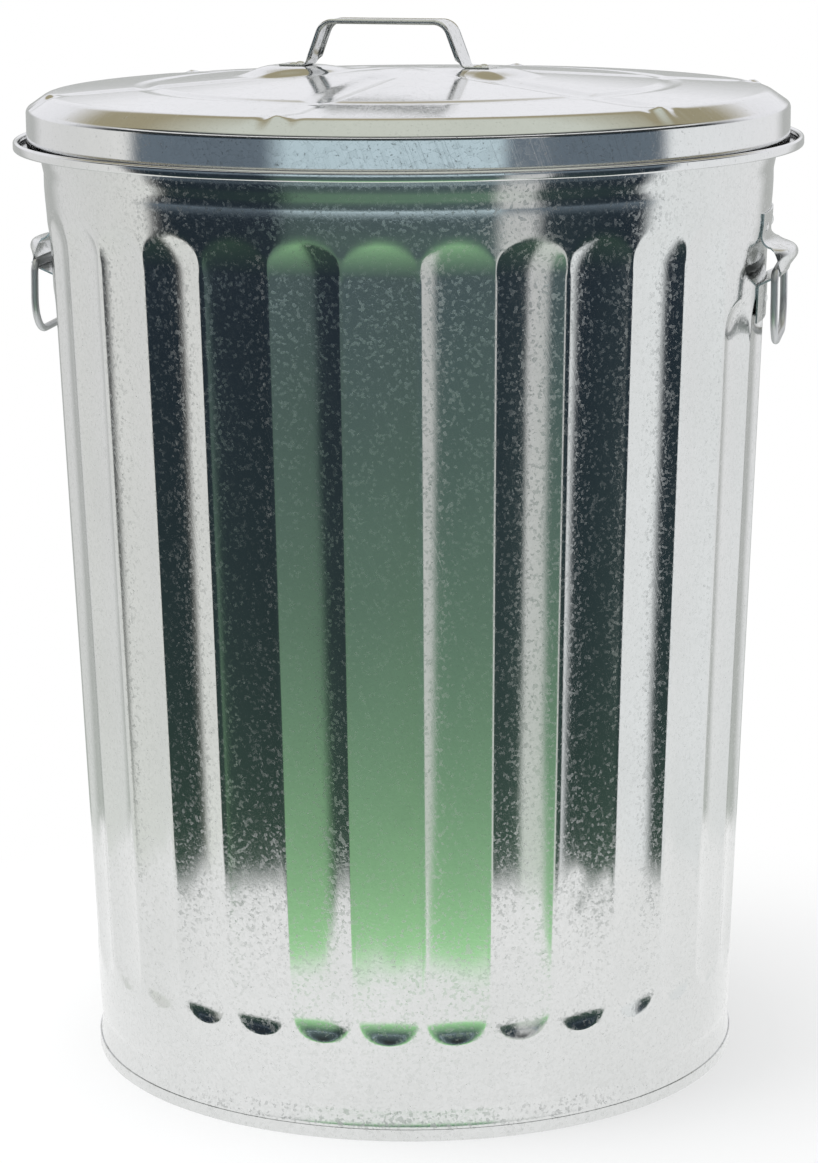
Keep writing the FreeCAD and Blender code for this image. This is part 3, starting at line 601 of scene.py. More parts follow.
@dataclass
class CanWall:
    """Tapered wall with its flutes, neck, beads and curled rim, as one skin of sheet."""

    flutes: Flutes = field(default_factory=Flutes)
    sheet: float = 0.8
    dents: tuple[Dent, ...] = (Dent(38.2, 164.0, 0.7, 5.0, 9.0), Dent(43.2, 159.0, 0.5, 4.0, 7.0),
                               Dent(8.6, 239.0, 0.35, 4.0, 6.0))

    def profile(self) -> tuple[np.ndarray, np.ndarray]:
        """Plain outer profile of the wall, from the foot to the rim, closely spaced.

        Returns:
            Radii and heights.
        """
        corners = [(228.92, 0.95), (228.92, 8.0), (228.17, 12.0), (226.8, 22.0), (226.95, 25.4), (228.0, 28.0),
                   (228.395, 34.0), (229.655, 67.0), (249.2, 580.0), (250.0, 588.0), (250.95, 595.0),
                   (251.3, 601.0), (252.1, 612.0), (252.5, 620.0), (252.5, 629.0), (254.1, 637.0),
                   (254.1, 671.0)]
        heights = [0.95, 4.0, 8.0, 10.0, 12.0, 15.0, 18.0, 20.0, 22.0, 23.7, 25.4, 26.7, 28.0, 31.0, 34.0, 42.0,
                   50.0, 58.0, 63.0]
        heights += list(np.linspace(66.0, 90.0, 25))
        heights += list(np.linspace(95.0, 505.0, 42))
        heights += list(np.linspace(510.0, 604.0, 63))
        heights += [607.0, 610.0, 613.0, 616.5, 620.0, 624.5, 629.0, 631.0, 633.0, 635.0, 637.0, 641.0, 648.0,
                    656.0, 664.0, 671.0]
        known_r = np.array([corner[0] for corner in corners])
        known_z = np.array([corner[1] for corner in corners])
        z = np.array(heights)
        r = np.interp(z, known_z, known_r)
        lean = 0.8 * np.interp(z, [0.95, 629.0, 637.0, 671.0], [0.0, 0.0, 0.0, 1.0])
        return r + lean, z

    def angles(self) -> np.ndarray:
        """Angles of the columns in radians: close together near each crest."""
        step = 360.0 / self.flutes.count
        offsets = np.array([0.0, 0.5, 1.0, 1.5, 2.0, 2.6, 3.5, 5.0, 8.0, 12.0, 17.0, 21.0]) / 242.0
        values: list[float] = []
        for number in range(self.flutes.count):
            crest = math.radians(step * number)
            values.extend((crest + offsets).tolist())
            values.extend((crest - offsets[1:]).tolist())
            values.append(crest + math.radians(step / 2.0))
        return np.unique(np.round(np.mod(np.array(values), math.tau), 7))

    def waviness(self, height: np.ndarray, turn: np.ndarray) -> np.ndarray:
        """Slow unevenness of thin sheet, inward only."""
        wave = (np.sin(2.0 * turn + height / 95.0) + np.sin(5.0 * turn - height / 61.0 + 1.3)
                + np.sin(11.0 * turn + height / 33.0 + 0.6) + np.sin(17.0 * turn - height / 21.0 + 2.1))
        fade = np.clip((height - 40.0) / 60.0, 0.0, 1.0) * np.clip((640.0 - height) / 60.0, 0.0, 1.0)
        return -0.05 * (wave + 4.0) / 2.0 * fade

    def surface(self) -> tuple[np.ndarray, np.ndarray, np.ndarray]:
        """Outer skin as radii over a grid of heights and angles."""
        r, z = self.profile()
        turn = self.angles()
        wall = np.repeat(r[:, None], len(turn), axis=1)
        height = np.repeat(z[:, None], len(turn), axis=1)
        around = np.repeat(turn[None, :], len(z), axis=0)
        skin = wall.copy()
        straight = 227.1 + 0.0381 * height
        for angle, short in self.flutes.centres():
            away = np.mod(around - math.radians(angle) + math.pi, math.tau) - math.pi
            near = np.abs(away) < math.radians(8.0)
            trough = np.where(near, self.flutes.radius(straight, height, away, short), 400.0)
            skin = soft_min(skin, trough, self.flutes.blend)
        for dent in self.dents:
            across = (np.mod(around - math.radians(dent.turn - 90.0) + math.pi, math.tau) - math.pi) * wall
            fall = (across / dent.width) ** 2 + ((height - dent.height) / dent.tall) ** 2
            skin -= dent.depth * np.exp(-fall)
        seam = (np.mod(around - math.radians(-37.0) + math.pi, math.tau) - math.pi) * wall
        skin -= 0.5 * np.exp(-(seam / 3.0) ** 2 - ((height - 638.0) / 6.0) ** 4)
        return skin + self.waviness(height, around), z, turn

    def build(self) -> bpy.types.Object:
        """Make the wall with its inner side and its curled rim.

        Returns:
            The object.
        """
        skin, z, turn = self.surface()
        columns = len(turn)
        rings: list[np.ndarray] = []
        cos, sin = np.cos(turn), np.sin(turn)

        def ring(radius: np.ndarray, height: np.ndarray) -> None:
            rings.append(np.column_stack((radius * cos, radius * sin, np.broadcast_to(height, radius.shape))))

        for row in range(len(z)):
            ring(skin[row], np.full(columns, z[row]))
        centre, outer, inner = 257.65, 3.55, 2.75
        for step in range(1, 19):
            angle = math.pi - 1.5 * math.pi * step / 18.0
            ring(np.full(columns, centre + inner * math.cos(angle)),
                 np.full(columns, 671.0 + inner * math.sin(angle)))
        for step in range(18, -1, -1):
            angle = math.pi - 1.5 * math.pi * step / 18.0
            ring(np.full(columns, centre + outer * math.cos(angle)),
                 np.full(columns, 671.0 + outer * math.sin(angle)))
        for row in range(len(z) - 2, -1, -1):
            ring(skin[row] - self.sheet, np.full(columns, z[row]))
        faces = grid_faces(len(rings), columns, True, True)
        thing = make_object("Ribbed_wall", np.vstack(rings), faces, BODY_FINISH, 50.0)
        return settle(thing, Carrier.CAN, Slot.SHEET, "body_shell")


@dataclass
class BottomPan:
    """Bottom panel whose rolled edge grips the wall and is the ring that the can stands on."""

    name: str = "Bottom_pan"

    def build(self) -> bpy.types.Object:
        """Make the pan."""
        section = outline([(229.8, 8.0), (229.8, 0.6), (229.2, 0.0, 0.6), (227.84, 0.0), (227.24, 0.6, 0.6),
                           (227.24, 7.4), (225.99, 12.6), (0.5, 12.6)], 4)
        section += [(0.5, 13.4), (226.79, 13.4), (228.04, 7.9), (228.04, 0.8), (229.0, 0.8), (229.0, 8.0)]
        thing = lathe(self.name, section, PAN_FINISH)
        return settle(thing, Carrier.CAN, Slot.SHEET, "bottom_pan")


# ---------------------------------------------------------------- ears and bails
@dataclass
class Ear:
    """Pressed plate on the wall with a rolled lip that holds the bail."""

    side: int
    sheet: float = 1.2
    half_turn: float = 8.39

    def line(self) -> list[Point]:
        """Inner line of the ear in radius and height, from the bottom up."""
        def wall(height: float) -> float:
            return 227.1 + 0.0381 * height + 0.03

        return outline([(wall(528.0), 528.0), (wall(552.6), 552.6), (wall(552.6) + 1.73, 555.2, 3.0),
                        (262.184, 560.963), (263.8, 563.5, -2.8), (264.23, 564.81, 2.2), (268.65, 570.78),
                        (266.36, 576.76, -3.8), (257.25, 578.65), (250.13, 588.6, 9.0), (251.05, 595.0),
                        (251.5, 602.5)], 6)

    def scooped(self, share: np.ndarray, radius: float, height: float) -> np.ndarray:
        """How far the nose is drawn in towards the ear's ends, so that the lip reads as one scoop.

        Args:
            share: Place across the ear, -1 to 1.
            radius: Radius of the section's point.
            height: Height of the section's point.

        Returns:
            Distance to draw in, one per place.
        """
        chord = float(np.interp(height, [563.5, 579.2], [264.4, 257.6]))
        over = max(0.0, radius - chord) if 563.5 < height < 579.2 else 0.0
        return over * 0.9 * np.abs(share) ** 2.4

    def build(self) -> bpy.types.Object:
        """Make the ear."""
        inner = self.line()
        outer = beside(inner, self.sheet)
        section = inner + outer[::-1]
        middle = 0.0 if self.side > 0 else math.pi
        columns = 49
        share = np.linspace(-1.0, 1.0, columns)
        turns = share * math.radians(self.half_turn)
        rings = []
        for radius, height in section:
            reach = radius - self.scooped(share, radius, height)
            rings.append(np.column_stack((reach * np.cos(middle + turns), reach * np.sin(middle + turns),
                                          np.full(columns, height))))
        corners = np.vstack(rings)
        faces: list[Sequence[int]] = list(grid_faces(len(section), columns, True, False))
        faces.append([row * columns for row in range(len(section))])
        faces.append([row * columns + columns - 1 for row in range(len(section))][::-1])
        name = "Right_ear_plate" if self.side > 0 else "Left_ear_plate"
        thing = make_object(name, corners, faces, EAR_FINISH, 35.0)
        return settle(thing, Carrier.CAN, Slot.SHEET, "right_ear" if self.side > 0 else "left_ear")


def tube(name: str, path: Sequence[Vector], radius: float, finish: ZincFinish, closed: bool,
         sides: int = 24) -> bpy.types.Object:
    """Round wire along a path.

    Args:
        name: Name of the piece.
        path: Points of the centre line in millimetres.
        radius: Radius of the wire.
        finish: Finish.
        closed: True when the last point joins the first.
        sides: Corners around the wire.

    Returns:
        The object.
    """
    count = len(path)
    flat = (path[count // 3] - path[0]).cross(path[2 * count // 3] - path[0]).normalized()
    rings = []
    for number, point in enumerate(path):
        after = path[(number + 1) % count] if closed or number < count - 1 else point
        before = path[number - 1] if closed or number > 0 else point
        way = (after - before).normalized()
        side = flat.cross(way).normalized()
        for step in range(sides):
            angle = math.tau * step / sides
            rings.append(point + radius * (side * math.cos(angle) + flat * math.sin(angle)))
    return make_object(name, np.array([tuple(corner) for corner in rings]),
                       grid_faces(count, sides, closed, True), finish, 60.0)


@dataclass
class Bail:
    """Drop handle of round wire with a straight top bar."""

    side: int
    wire: float = 2.6
    plane: float = 258.0

    def path(self) -> list[Vector]:
        """Closed centre line of the wire."""
        half = outline([(0.0, 563.5), (39.0, 563.5), (46.0, 556.5, 7.0), (47.2, 539.0), (23.2, 515.0, 24.0),
                        (0.0, 515.0)], 10)
        dense: list[Point] = [half[0]]
        for point in half[1:]:
            last = dense[-1]
            pieces = max(1, int(math.dist(last, point) / 6.0))
            dense += [(last[0] + (point[0] - last[0]) * step / pieces,
                       last[1] + (point[1] - last[1]) * step / pieces) for step in range(1, pieces + 1)]
        whole = dense + [(-y, z) for y, z in dense[-2:0:-1]]
        return [Vector((self.side * self.plane, y, z)) for y, z in whole]

    def build(self) -> bpy.types.Object:
        """Make the bail."""
        name = "Right_bail_wire" if self.side > 0 else "Left_bail_wire"
        thing = tube(name, self.path(), self.wire, WIRE_FINISH, True)
        carrier = Carrier.RIGHT_BAIL if self.side > 0 else Carrier.LEFT_BAIL
        return settle(thing, carrier, Slot.WIRE, "right_bail" if self.side > 0 else "left_bail")


# ---------------------------------------------------------------- lid
@dataclass
class LidShell:
    """Pressed lid: crown with a ring crease and six radial creases, shoulder, skirt and hem."""

    sheet: float = 0.8
    columns: int = 720
    crown_top: float = 697.4
    crown_slope: float = 0.0655
    pads: tuple[Point, ...] = ((-81.4, 13.6), (52.8, -8.8))
    first_crease: float = -39.5
    creases: int = 6
    cutter: float = 45.0
    crease_blend: float = 1.2
    ring_radius: float = 181.0
    ring_depth: float = 1.2
    ring_curve: float = 20.0

    def crown(self, radius: np.ndarray, turn: np.ndarray) -> np.ndarray:
        """Height of the crown without its creases: a low cone with two pads for the handle's feet."""
        cone = self.crown_top - self.crown_slope * (np.sqrt(radius ** 2 + 400.0) - 20.0)
        top = cone
        for x, y in self.pads:
            away = np.hypot(radius * np.cos(turn) - x, radius * np.sin(turn) - y)
            near = np.clip((44.0 - away) / 28.0, 0.0, 1.0)
            near = near * near * (3.0 - 2.0 * near)
            top = top + (697.55 - cone) * near
        return np.minimum(top, 697.55)

    def crease_depth(self, radius: np.ndarray) -> np.ndarray:
        """Depth of a radial crease at a radius."""
        known_r = np.array([0.0, 34.0, 60.0, 90.0, 181.0, 225.0, 243.0])
        known_d = np.array([0.0, 0.2, 1.9, 1.9, 1.5, 1.2, 0.0])
        return np.interp(radius, known_r, known_d)

    def pressed(self, radius: np.ndarray, turn: np.ndarray) -> np.ndarray:
        """Height of the crown with its creases pressed in."""
        top = self.crown(radius, turn)
        floor_line = top - self.crease_depth(radius)
        result = top
        for number in range(self.creases):
            angle = math.radians(self.first_crease + number * 360.0 / self.creases)
            away = np.mod(turn - angle + math.pi, math.tau) - math.pi
            side = radius * np.sin(away)
            ahead = np.cos(away) > 0.5
            trough = floor_line + self.cutter - np.sqrt(np.maximum(self.cutter ** 2 - side ** 2, 0.0))
            trough = np.where(ahead & (np.abs(side) < self.cutter * 0.9), trough, top + 20.0)
            result = soft_min(result, trough, self.crease_blend)
        away = np.abs(radius - self.ring_radius)
        ring = top - self.ring_depth + self.ring_curve - np.sqrt(np.maximum(self.ring_curve ** 2 - away ** 2, 0.0))
        ring = np.where(away < self.ring_curve * 0.9, ring, top + 20.0)
        return soft_min(result, ring, self.crease_blend)

    def knuckle(self, radius: float, turn: np.ndarray) -> np.ndarray:
        """Small raised knuckles where the creases run out over the crown's edge."""
        lift = np.zeros_like(turn)
        for number in range(self.creases):
            angle = math.radians(self.first_crease + number * 360.0 / self.creases)
            across = (np.mod(turn - angle + math.pi, math.tau) - math.pi) * radius
            lift += np.exp(-(across / 4.5) ** 2) - 0.55 * np.exp(-((np.abs(across) - 10.0) / 4.5) ** 2)
        return 1.7 * lift * math.exp(-((radius - 249.0) / 5.5) ** 2)

    def build(self) -> bpy.types.Object:
        """Make the lid's sheet with both sides and its hem."""
        turn = np.linspace(0.0, math.tau, self.columns, endpoint=False)
        cos, sin = np.cos(turn), np.sin(turn)
        rings: list[np.ndarray] = []

        def ring(radius: float, height: np.ndarray) -> None:
            rings.append(np.column_stack((radius * cos, radius * sin, np.broadcast_to(height, cos.shape))))

        radii = np.unique(np.concatenate((
            np.array([0.8, 20.0, 35.0]), np.linspace(40.0, 100.0, 25), np.linspace(104.0, 170.0, 18),
            np.linspace(171.0, 191.0, 21), np.linspace(194.0, 244.5, 18))))
        tops = [self.pressed(np.full(self.columns, radius), turn) + self.knuckle(radius, turn)
                for radius in radii]
        for radius, top in zip(radii, tops):
            ring(radius, top)
        edge = float(self.crown(np.array([244.5]), np.array([0.0]))[0])
        shoulder = outline([(244.5, edge), (251.5, edge - 1.9, 14.0), (261.9, 673.6), (263.5, 669.5, 5.0),
                            (263.5, 645.5)], 6)
        for radius, height in shoulder[1:]:
            ring(radius, height + self.knuckle(radius, turn))
        hem_in = [(271.15, 645.5)]
        curl_in = [(271.15 + 1.05 * math.cos(a), 649.65 + 1.05 * math.sin(a))
                   for a in np.radians(np.linspace(0.0, 180.0, 11))]
        curl_out = [(271.15 + 1.85 * math.cos(a), 649.65 + 1.85 * math.sin(a))
                    for a in np.radians(np.linspace(180.0, 0.0, 19))]
        hem = hem_in + [(272.2, 646.3)] + curl_in + [(270.1, 648.05), (269.3, 648.05)] + curl_out
        hem += [(273.0, 646.2), (272.77, 645.4), (272.2, 644.85), (271.4, 644.7), (263.9, 644.7), (263.1, 644.95),
                (262.7, 645.7)]
        for radius, height in hem:
            ring(radius, np.full(self.columns, height))
        under = beside(outline([(244.5, edge), (251.5, edge - 1.9, 14.0), (261.9, 673.6), (263.5, 669.5, 5.0),
                                (263.5, 647.0)], 6), self.sheet)
        for radius, height in under[::-1][:-1]:
            ring(radius, np.full(self.columns, height))
        for radius, top in zip(radii[::-1], tops[::-1]):
            ring(radius, top - self.sheet)
        rows = len(rings)
        faces = grid_faces(rows, self.columns, False, True, flip=True)
        corners = np.vstack(rings)
        faces = list(faces)
        faces.append(list(range(self.columns)))
        faces.append(list(range((rows - 1) * self.columns, rows * self.columns))[::-1])
        thing = make_object("Pressed_lid", corners, faces, LID_FINISH, 50.0)
        return settle(thing, Carrier.LID, Slot.LID, "lid_shell")


@dataclass
class StrapHandle:
    """Lid handle: a strap with two rolled edges, leaning legs and flat feet."""

    turn: float = -9.5
    shift: float = -14.5
    top: float = 730.2
    half_top: float = 37.0
    corner: float = 13.0
    lean: float = 21.0
    bend: float = 2.7
    foot: float = 17.0
    strap: float = 1.2
    roll: float = 1.7
    roll_at: float = 10.8
    foot_half_width: float = 10.8
    seat: float = 697.6

    def place(self, corners: np.ndarray) -> np.ndarray:
        """Move corners from the handle's own axes to the can's."""
        angle = math.radians(self.turn)
        moved = corners.copy()
        x = corners[:, 0] + self.shift
        moved[:, 0] = x * math.cos(angle) - corners[:, 1] * math.sin(angle)
        moved[:, 1] = x * math.sin(angle) + corners[:, 1] * math.cos(angle)
        return moved

    def half_line(self) -> list[Point]:
        """Outer line of half the strap, from the middle of the top to the end of the foot."""
        corner = self.corner
        lean = math.radians(90.0 - self.lean)
        tangent = corner * math.tan(lean / 2.0)
        knee = (self.half_top + tangent, self.top)
        way = Vector((math.cos(lean), -math.sin(lean)))
        start = (self.half_top, self.top)
        end = (knee[0] + way.x * tangent, knee[1] + way.y * tangent)
        foot_top = self.seat + self.strap
        length = (knee[1] - foot_top) / math.sin(lean)
        toe = (knee[0] + way.x * length, foot_top)
        soft = self.bend * math.tan(lean / 2.0)
        before = (toe[0] - way.x * soft, toe[1] - way.y * soft)
        after = (toe[0] + soft, toe[1])
        corners = [(0.0, self.top), start, (*end, corner), before, (*after, -self.bend),
                   (after[0] + self.foot, foot_top)]
        return outline(corners, 12)

    def build(self) -> bpy.types.Object:
        """Make the handle as one swept section whose rolls run out above the feet."""
        half = self.half_line()
        dense: list[Point] = [half[0]]
        for point in half[1:]:
            last = dense[-1]
            pieces = max(1, int(math.dist(last, point) / 2.0))
            dense += [(last[0] + (point[0] - last[0]) * step / pieces,
                       last[1] + (point[1] - last[1]) * step / pieces) for step in range(1, pieces + 1)]
        line = [(-x, z) for x, z in dense[:0:-1]] + dense
        foot_top = self.seat + self.strap
        rings = []
        for number, (x, z) in enumerate(line):
            before = line[max(number - 1, 0)]
            after = line[min(number + 1, len(line) - 1)]
            way = Vector((after[0] - before[0], after[1] - before[1])).normalized()
            normal = Vector((-way.y, way.x))
            rise = min(1.0, max(0.0, (z - foot_top - 2.2) / 3.4))
            rise = rise * rise * (3.0 - 2.0 * rise)
            for side, up in self.section(rise):
                rings.append((x + normal.x * up, side, z + normal.y * up))
        count = len(self.section(1.0))
        faces: list[Sequence[int]] = list(grid_faces(len(line), count, False, True, flip=True))
        faces.append(list(range(count)))
        faces.append(list(range((len(line) - 1) * count, len(line) * count))[::-1])
        corners = self.place(np.array(rings))
        thing = make_object("Lid_strap_handle", corners, faces, GRIP_FINISH, 55.0)
        return settle(thing, Carrier.LID, Slot.LID, "lid_handle")

    def section(self, rise: float) -> list[Point]:
        """Strap's section across: a web with a roll on each edge.

        Args:
            rise: 1 for the full rolls, 0 for the flat foot.

        Returns:
            Points as distance across and height over the outer line.
        """
        points: list[Point] = []
        web = -0.3 * rise
        size = self.roll * rise + 0.6 * (1.0 - rise)
        middle_up = -size
        edge = self.roll_at * rise + (self.foot_half_width - 0.6) * (1.0 - rise)
        start = math.radians(125.0)
        for sign in (1.0, -1.0):
            arc_points = []
            for step in range(17):
                angle = start - 2.0 * start * step / 16.0
                arc_points.append((edge + size * math.cos(angle), middle_up + size * math.sin(angle)))
            if rise < 0.999:
                flat_top = (edge - size, 0.0)
                flat_low = (edge - size, -self.strap)
                arc_points[0] = (arc_points[0][0] * rise + flat_top[0] * (1.0 - rise),
                                 arc_points[0][1] * rise + flat_top[1] * (1.0 - rise))
                arc_points[-1] = (arc_points[-1][0] * rise + flat_low[0] * (1.0 - rise),
                                  arc_points[-1][1] * rise + flat_low[1] * (1.0 - rise))
            joint_top = (arc_points[0][0] - 0.4, web)
            joint_low = (arc_points[-1][0] - 0.4, web - self.strap)
            run = [joint_top] + arc_points + [joint_low]
            if sign > 0.0:
                points += run
            else:
                points += [(-side, up) for side, up in run[::-1]]
        return points


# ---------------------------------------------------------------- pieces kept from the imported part
@dataclass(frozen=True)
class KeptPiece:
    """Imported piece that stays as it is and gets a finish.

    Attributes:
        node: Name of the piece.
        finish: Its finish.
    """

    node: str
    finish: ZincFinish

    def dress(self) -> None:
        """Assign the finish to every material slot of the piece."""
        for thing in bpy.data.objects:
            if thing.type != "MESH" or thing.name.split(".")[0] != self.node:
                continue
            for number in range(len(thing.material_slots)):
                thing.material_slots[number].material = self.finish.material()
            LOG.info("%s: kept", thing.name)


KEPT = (KeptPiece("rim_wire", WIRE_FINISH), KeptPiece("lid_edge_wire", WIRE_FINISH),
        KeptPiece("right_ear_rivets", EAR_FINISH), KeptPiece("left_ear_rivets", EAR_FINISH),
        KeptPiece("lid_handle_rivets", GRIP_FINISH))


# ---------------------------------------------------------------- studio
class RoomBands:
    """What the metal mirrors near the horizon: upright light and dark bands of a studio."""

    name = "room_bands"
    stops = ((-180.0, (0.50, 0.51, 0.50)), (-152.0, (0.50, 0.51, 0.50)), (-142.0, (0.80, 0.80, 0.80)),
             (-90.0, (0.86, 0.86, 0.84)), (-85.5, (0.10, 0.10, 0.10)), (-82.0, (0.018, 0.028, 0.038)),
             (-41.0, (0.022, 0.032, 0.044)), (-37.5, (0.075, 0.11, 0.11)), (-10.0, (0.08, 0.115, 0.12)),
             (26.0, (0.075, 0.11, 0.119)), (29.0, (0.62, 0.63, 0.62)), (39.0, (0.66, 0.66, 0.66)),
             (42.0, (0.03, 0.045, 0.055)), (77.0, (0.018, 0.028, 0.04)), (82.0, (0.95, 0.97, 0.98)),
             (142.0, (0.90, 0.90, 0.91)), (152.0, (0.50, 0.51, 0.50)), (180.0, (0.50, 0.51, 0.50)))
    near_stops = ((-180.0, 0.1), (-88.0, 0.1), (-80.0, 0.12), (-42.0, 0.16), (-37.0, 1.0), (26.0, 1.0),
                  (29.0, 0.3), (40.0, 0.3), (43.0, 0.16), (76.0, 0.12), (82.0, 0.0), (180.0, 0.1))

    def tree(self) -> bpy.types.NodeTree:
        """Node group from a turn in degrees and a nearness to a colour."""
        known = bpy.data.node_groups.get(self.name)
        if known is not None:
            return known
        tree = bpy.data.node_groups.new(self.name, "ShaderNodeTree")
        tree.interface.new_socket("Turn", in_out="INPUT", socket_type="NodeSocketFloat")
        tree.interface.new_socket("Near", in_out="INPUT", socket_type="NodeSocketFloat")
        tree.interface.new_socket("Color", in_out="OUTPUT", socket_type="NodeSocketColor")
        graph = Graph(tree)
        entry = graph.add("NodeGroupInput")
        leave = graph.add("NodeGroupOutput")
        place = graph.span(entry.outputs["Turn"], -180.0, 180.0)
        bands = graph.ramp(place, [((turn + 180.0) / 360.0, colour) for turn, colour in self.stops])
        near = graph.ramp(place, [((turn + 180.0) / 360.0, (value,) * 3) for turn, value in self.near_stops])
        share = graph.math("MULTIPLY", entry.outputs["Near"], near)
        tint = graph.add("ShaderNodeVectorMath", operation="SCALE")
        tint.inputs[0].default_value = (0.63, 1.26, 0.52)
        graph.join(share, tint.inputs["Scale"])
        total = graph.add("ShaderNodeVectorMath", operation="ADD")
        graph.join(bands, total.inputs[0])
        graph.join(tint.outputs[0], total.inputs[1])
        graph.join(total.outputs[0], leave.inputs["Color"])
        return tree

    def place(self, graph: Graph, turn: object, near: object) -> bpy.types.NodeSocket:
        """Put the bands into a tree.

        Args:
            graph: The tree's graph.
            turn: Angle from the camera's side, to the right, in degrees.
            near: How much brighter the near floor is.

        Returns:
            The colour output.
        """
        node = graph.add("ShaderNodeGroup", node_tree=self.tree())
        graph.feed(turn, node.inputs["Turn"])
        graph.feed(near, node.inputs["Near"])
        return node.outputs["Color"]


def turn_of(graph: Graph, vector: bpy.types.NodeSocket) -> bpy.types.NodeSocket:
    """Angle of a vector from the photo's camera side, to the right, in degrees."""
    angle = math.radians(CAMERA_TURN)
    right = graph.add("ShaderNodeVectorMath", operation="DOT_PRODUCT")
    graph.join(vector, right.inputs[0])
    right.inputs[1].default_value = (math.cos(angle), math.sin(angle), 0.0)
    ahead = graph.add("ShaderNodeVectorMath", operation="DOT_PRODUCT")
    graph.join(vector, ahead.inputs[0])
    ahead.inputs[1].default_value = (math.sin(angle), -math.cos(angle), 0.0)
    radians = graph.math("ARCTAN2", right.outputs["Value"], ahead.outputs["Value"])
    return graph.math("MULTIPLY", radians, 180.0 / math.pi)


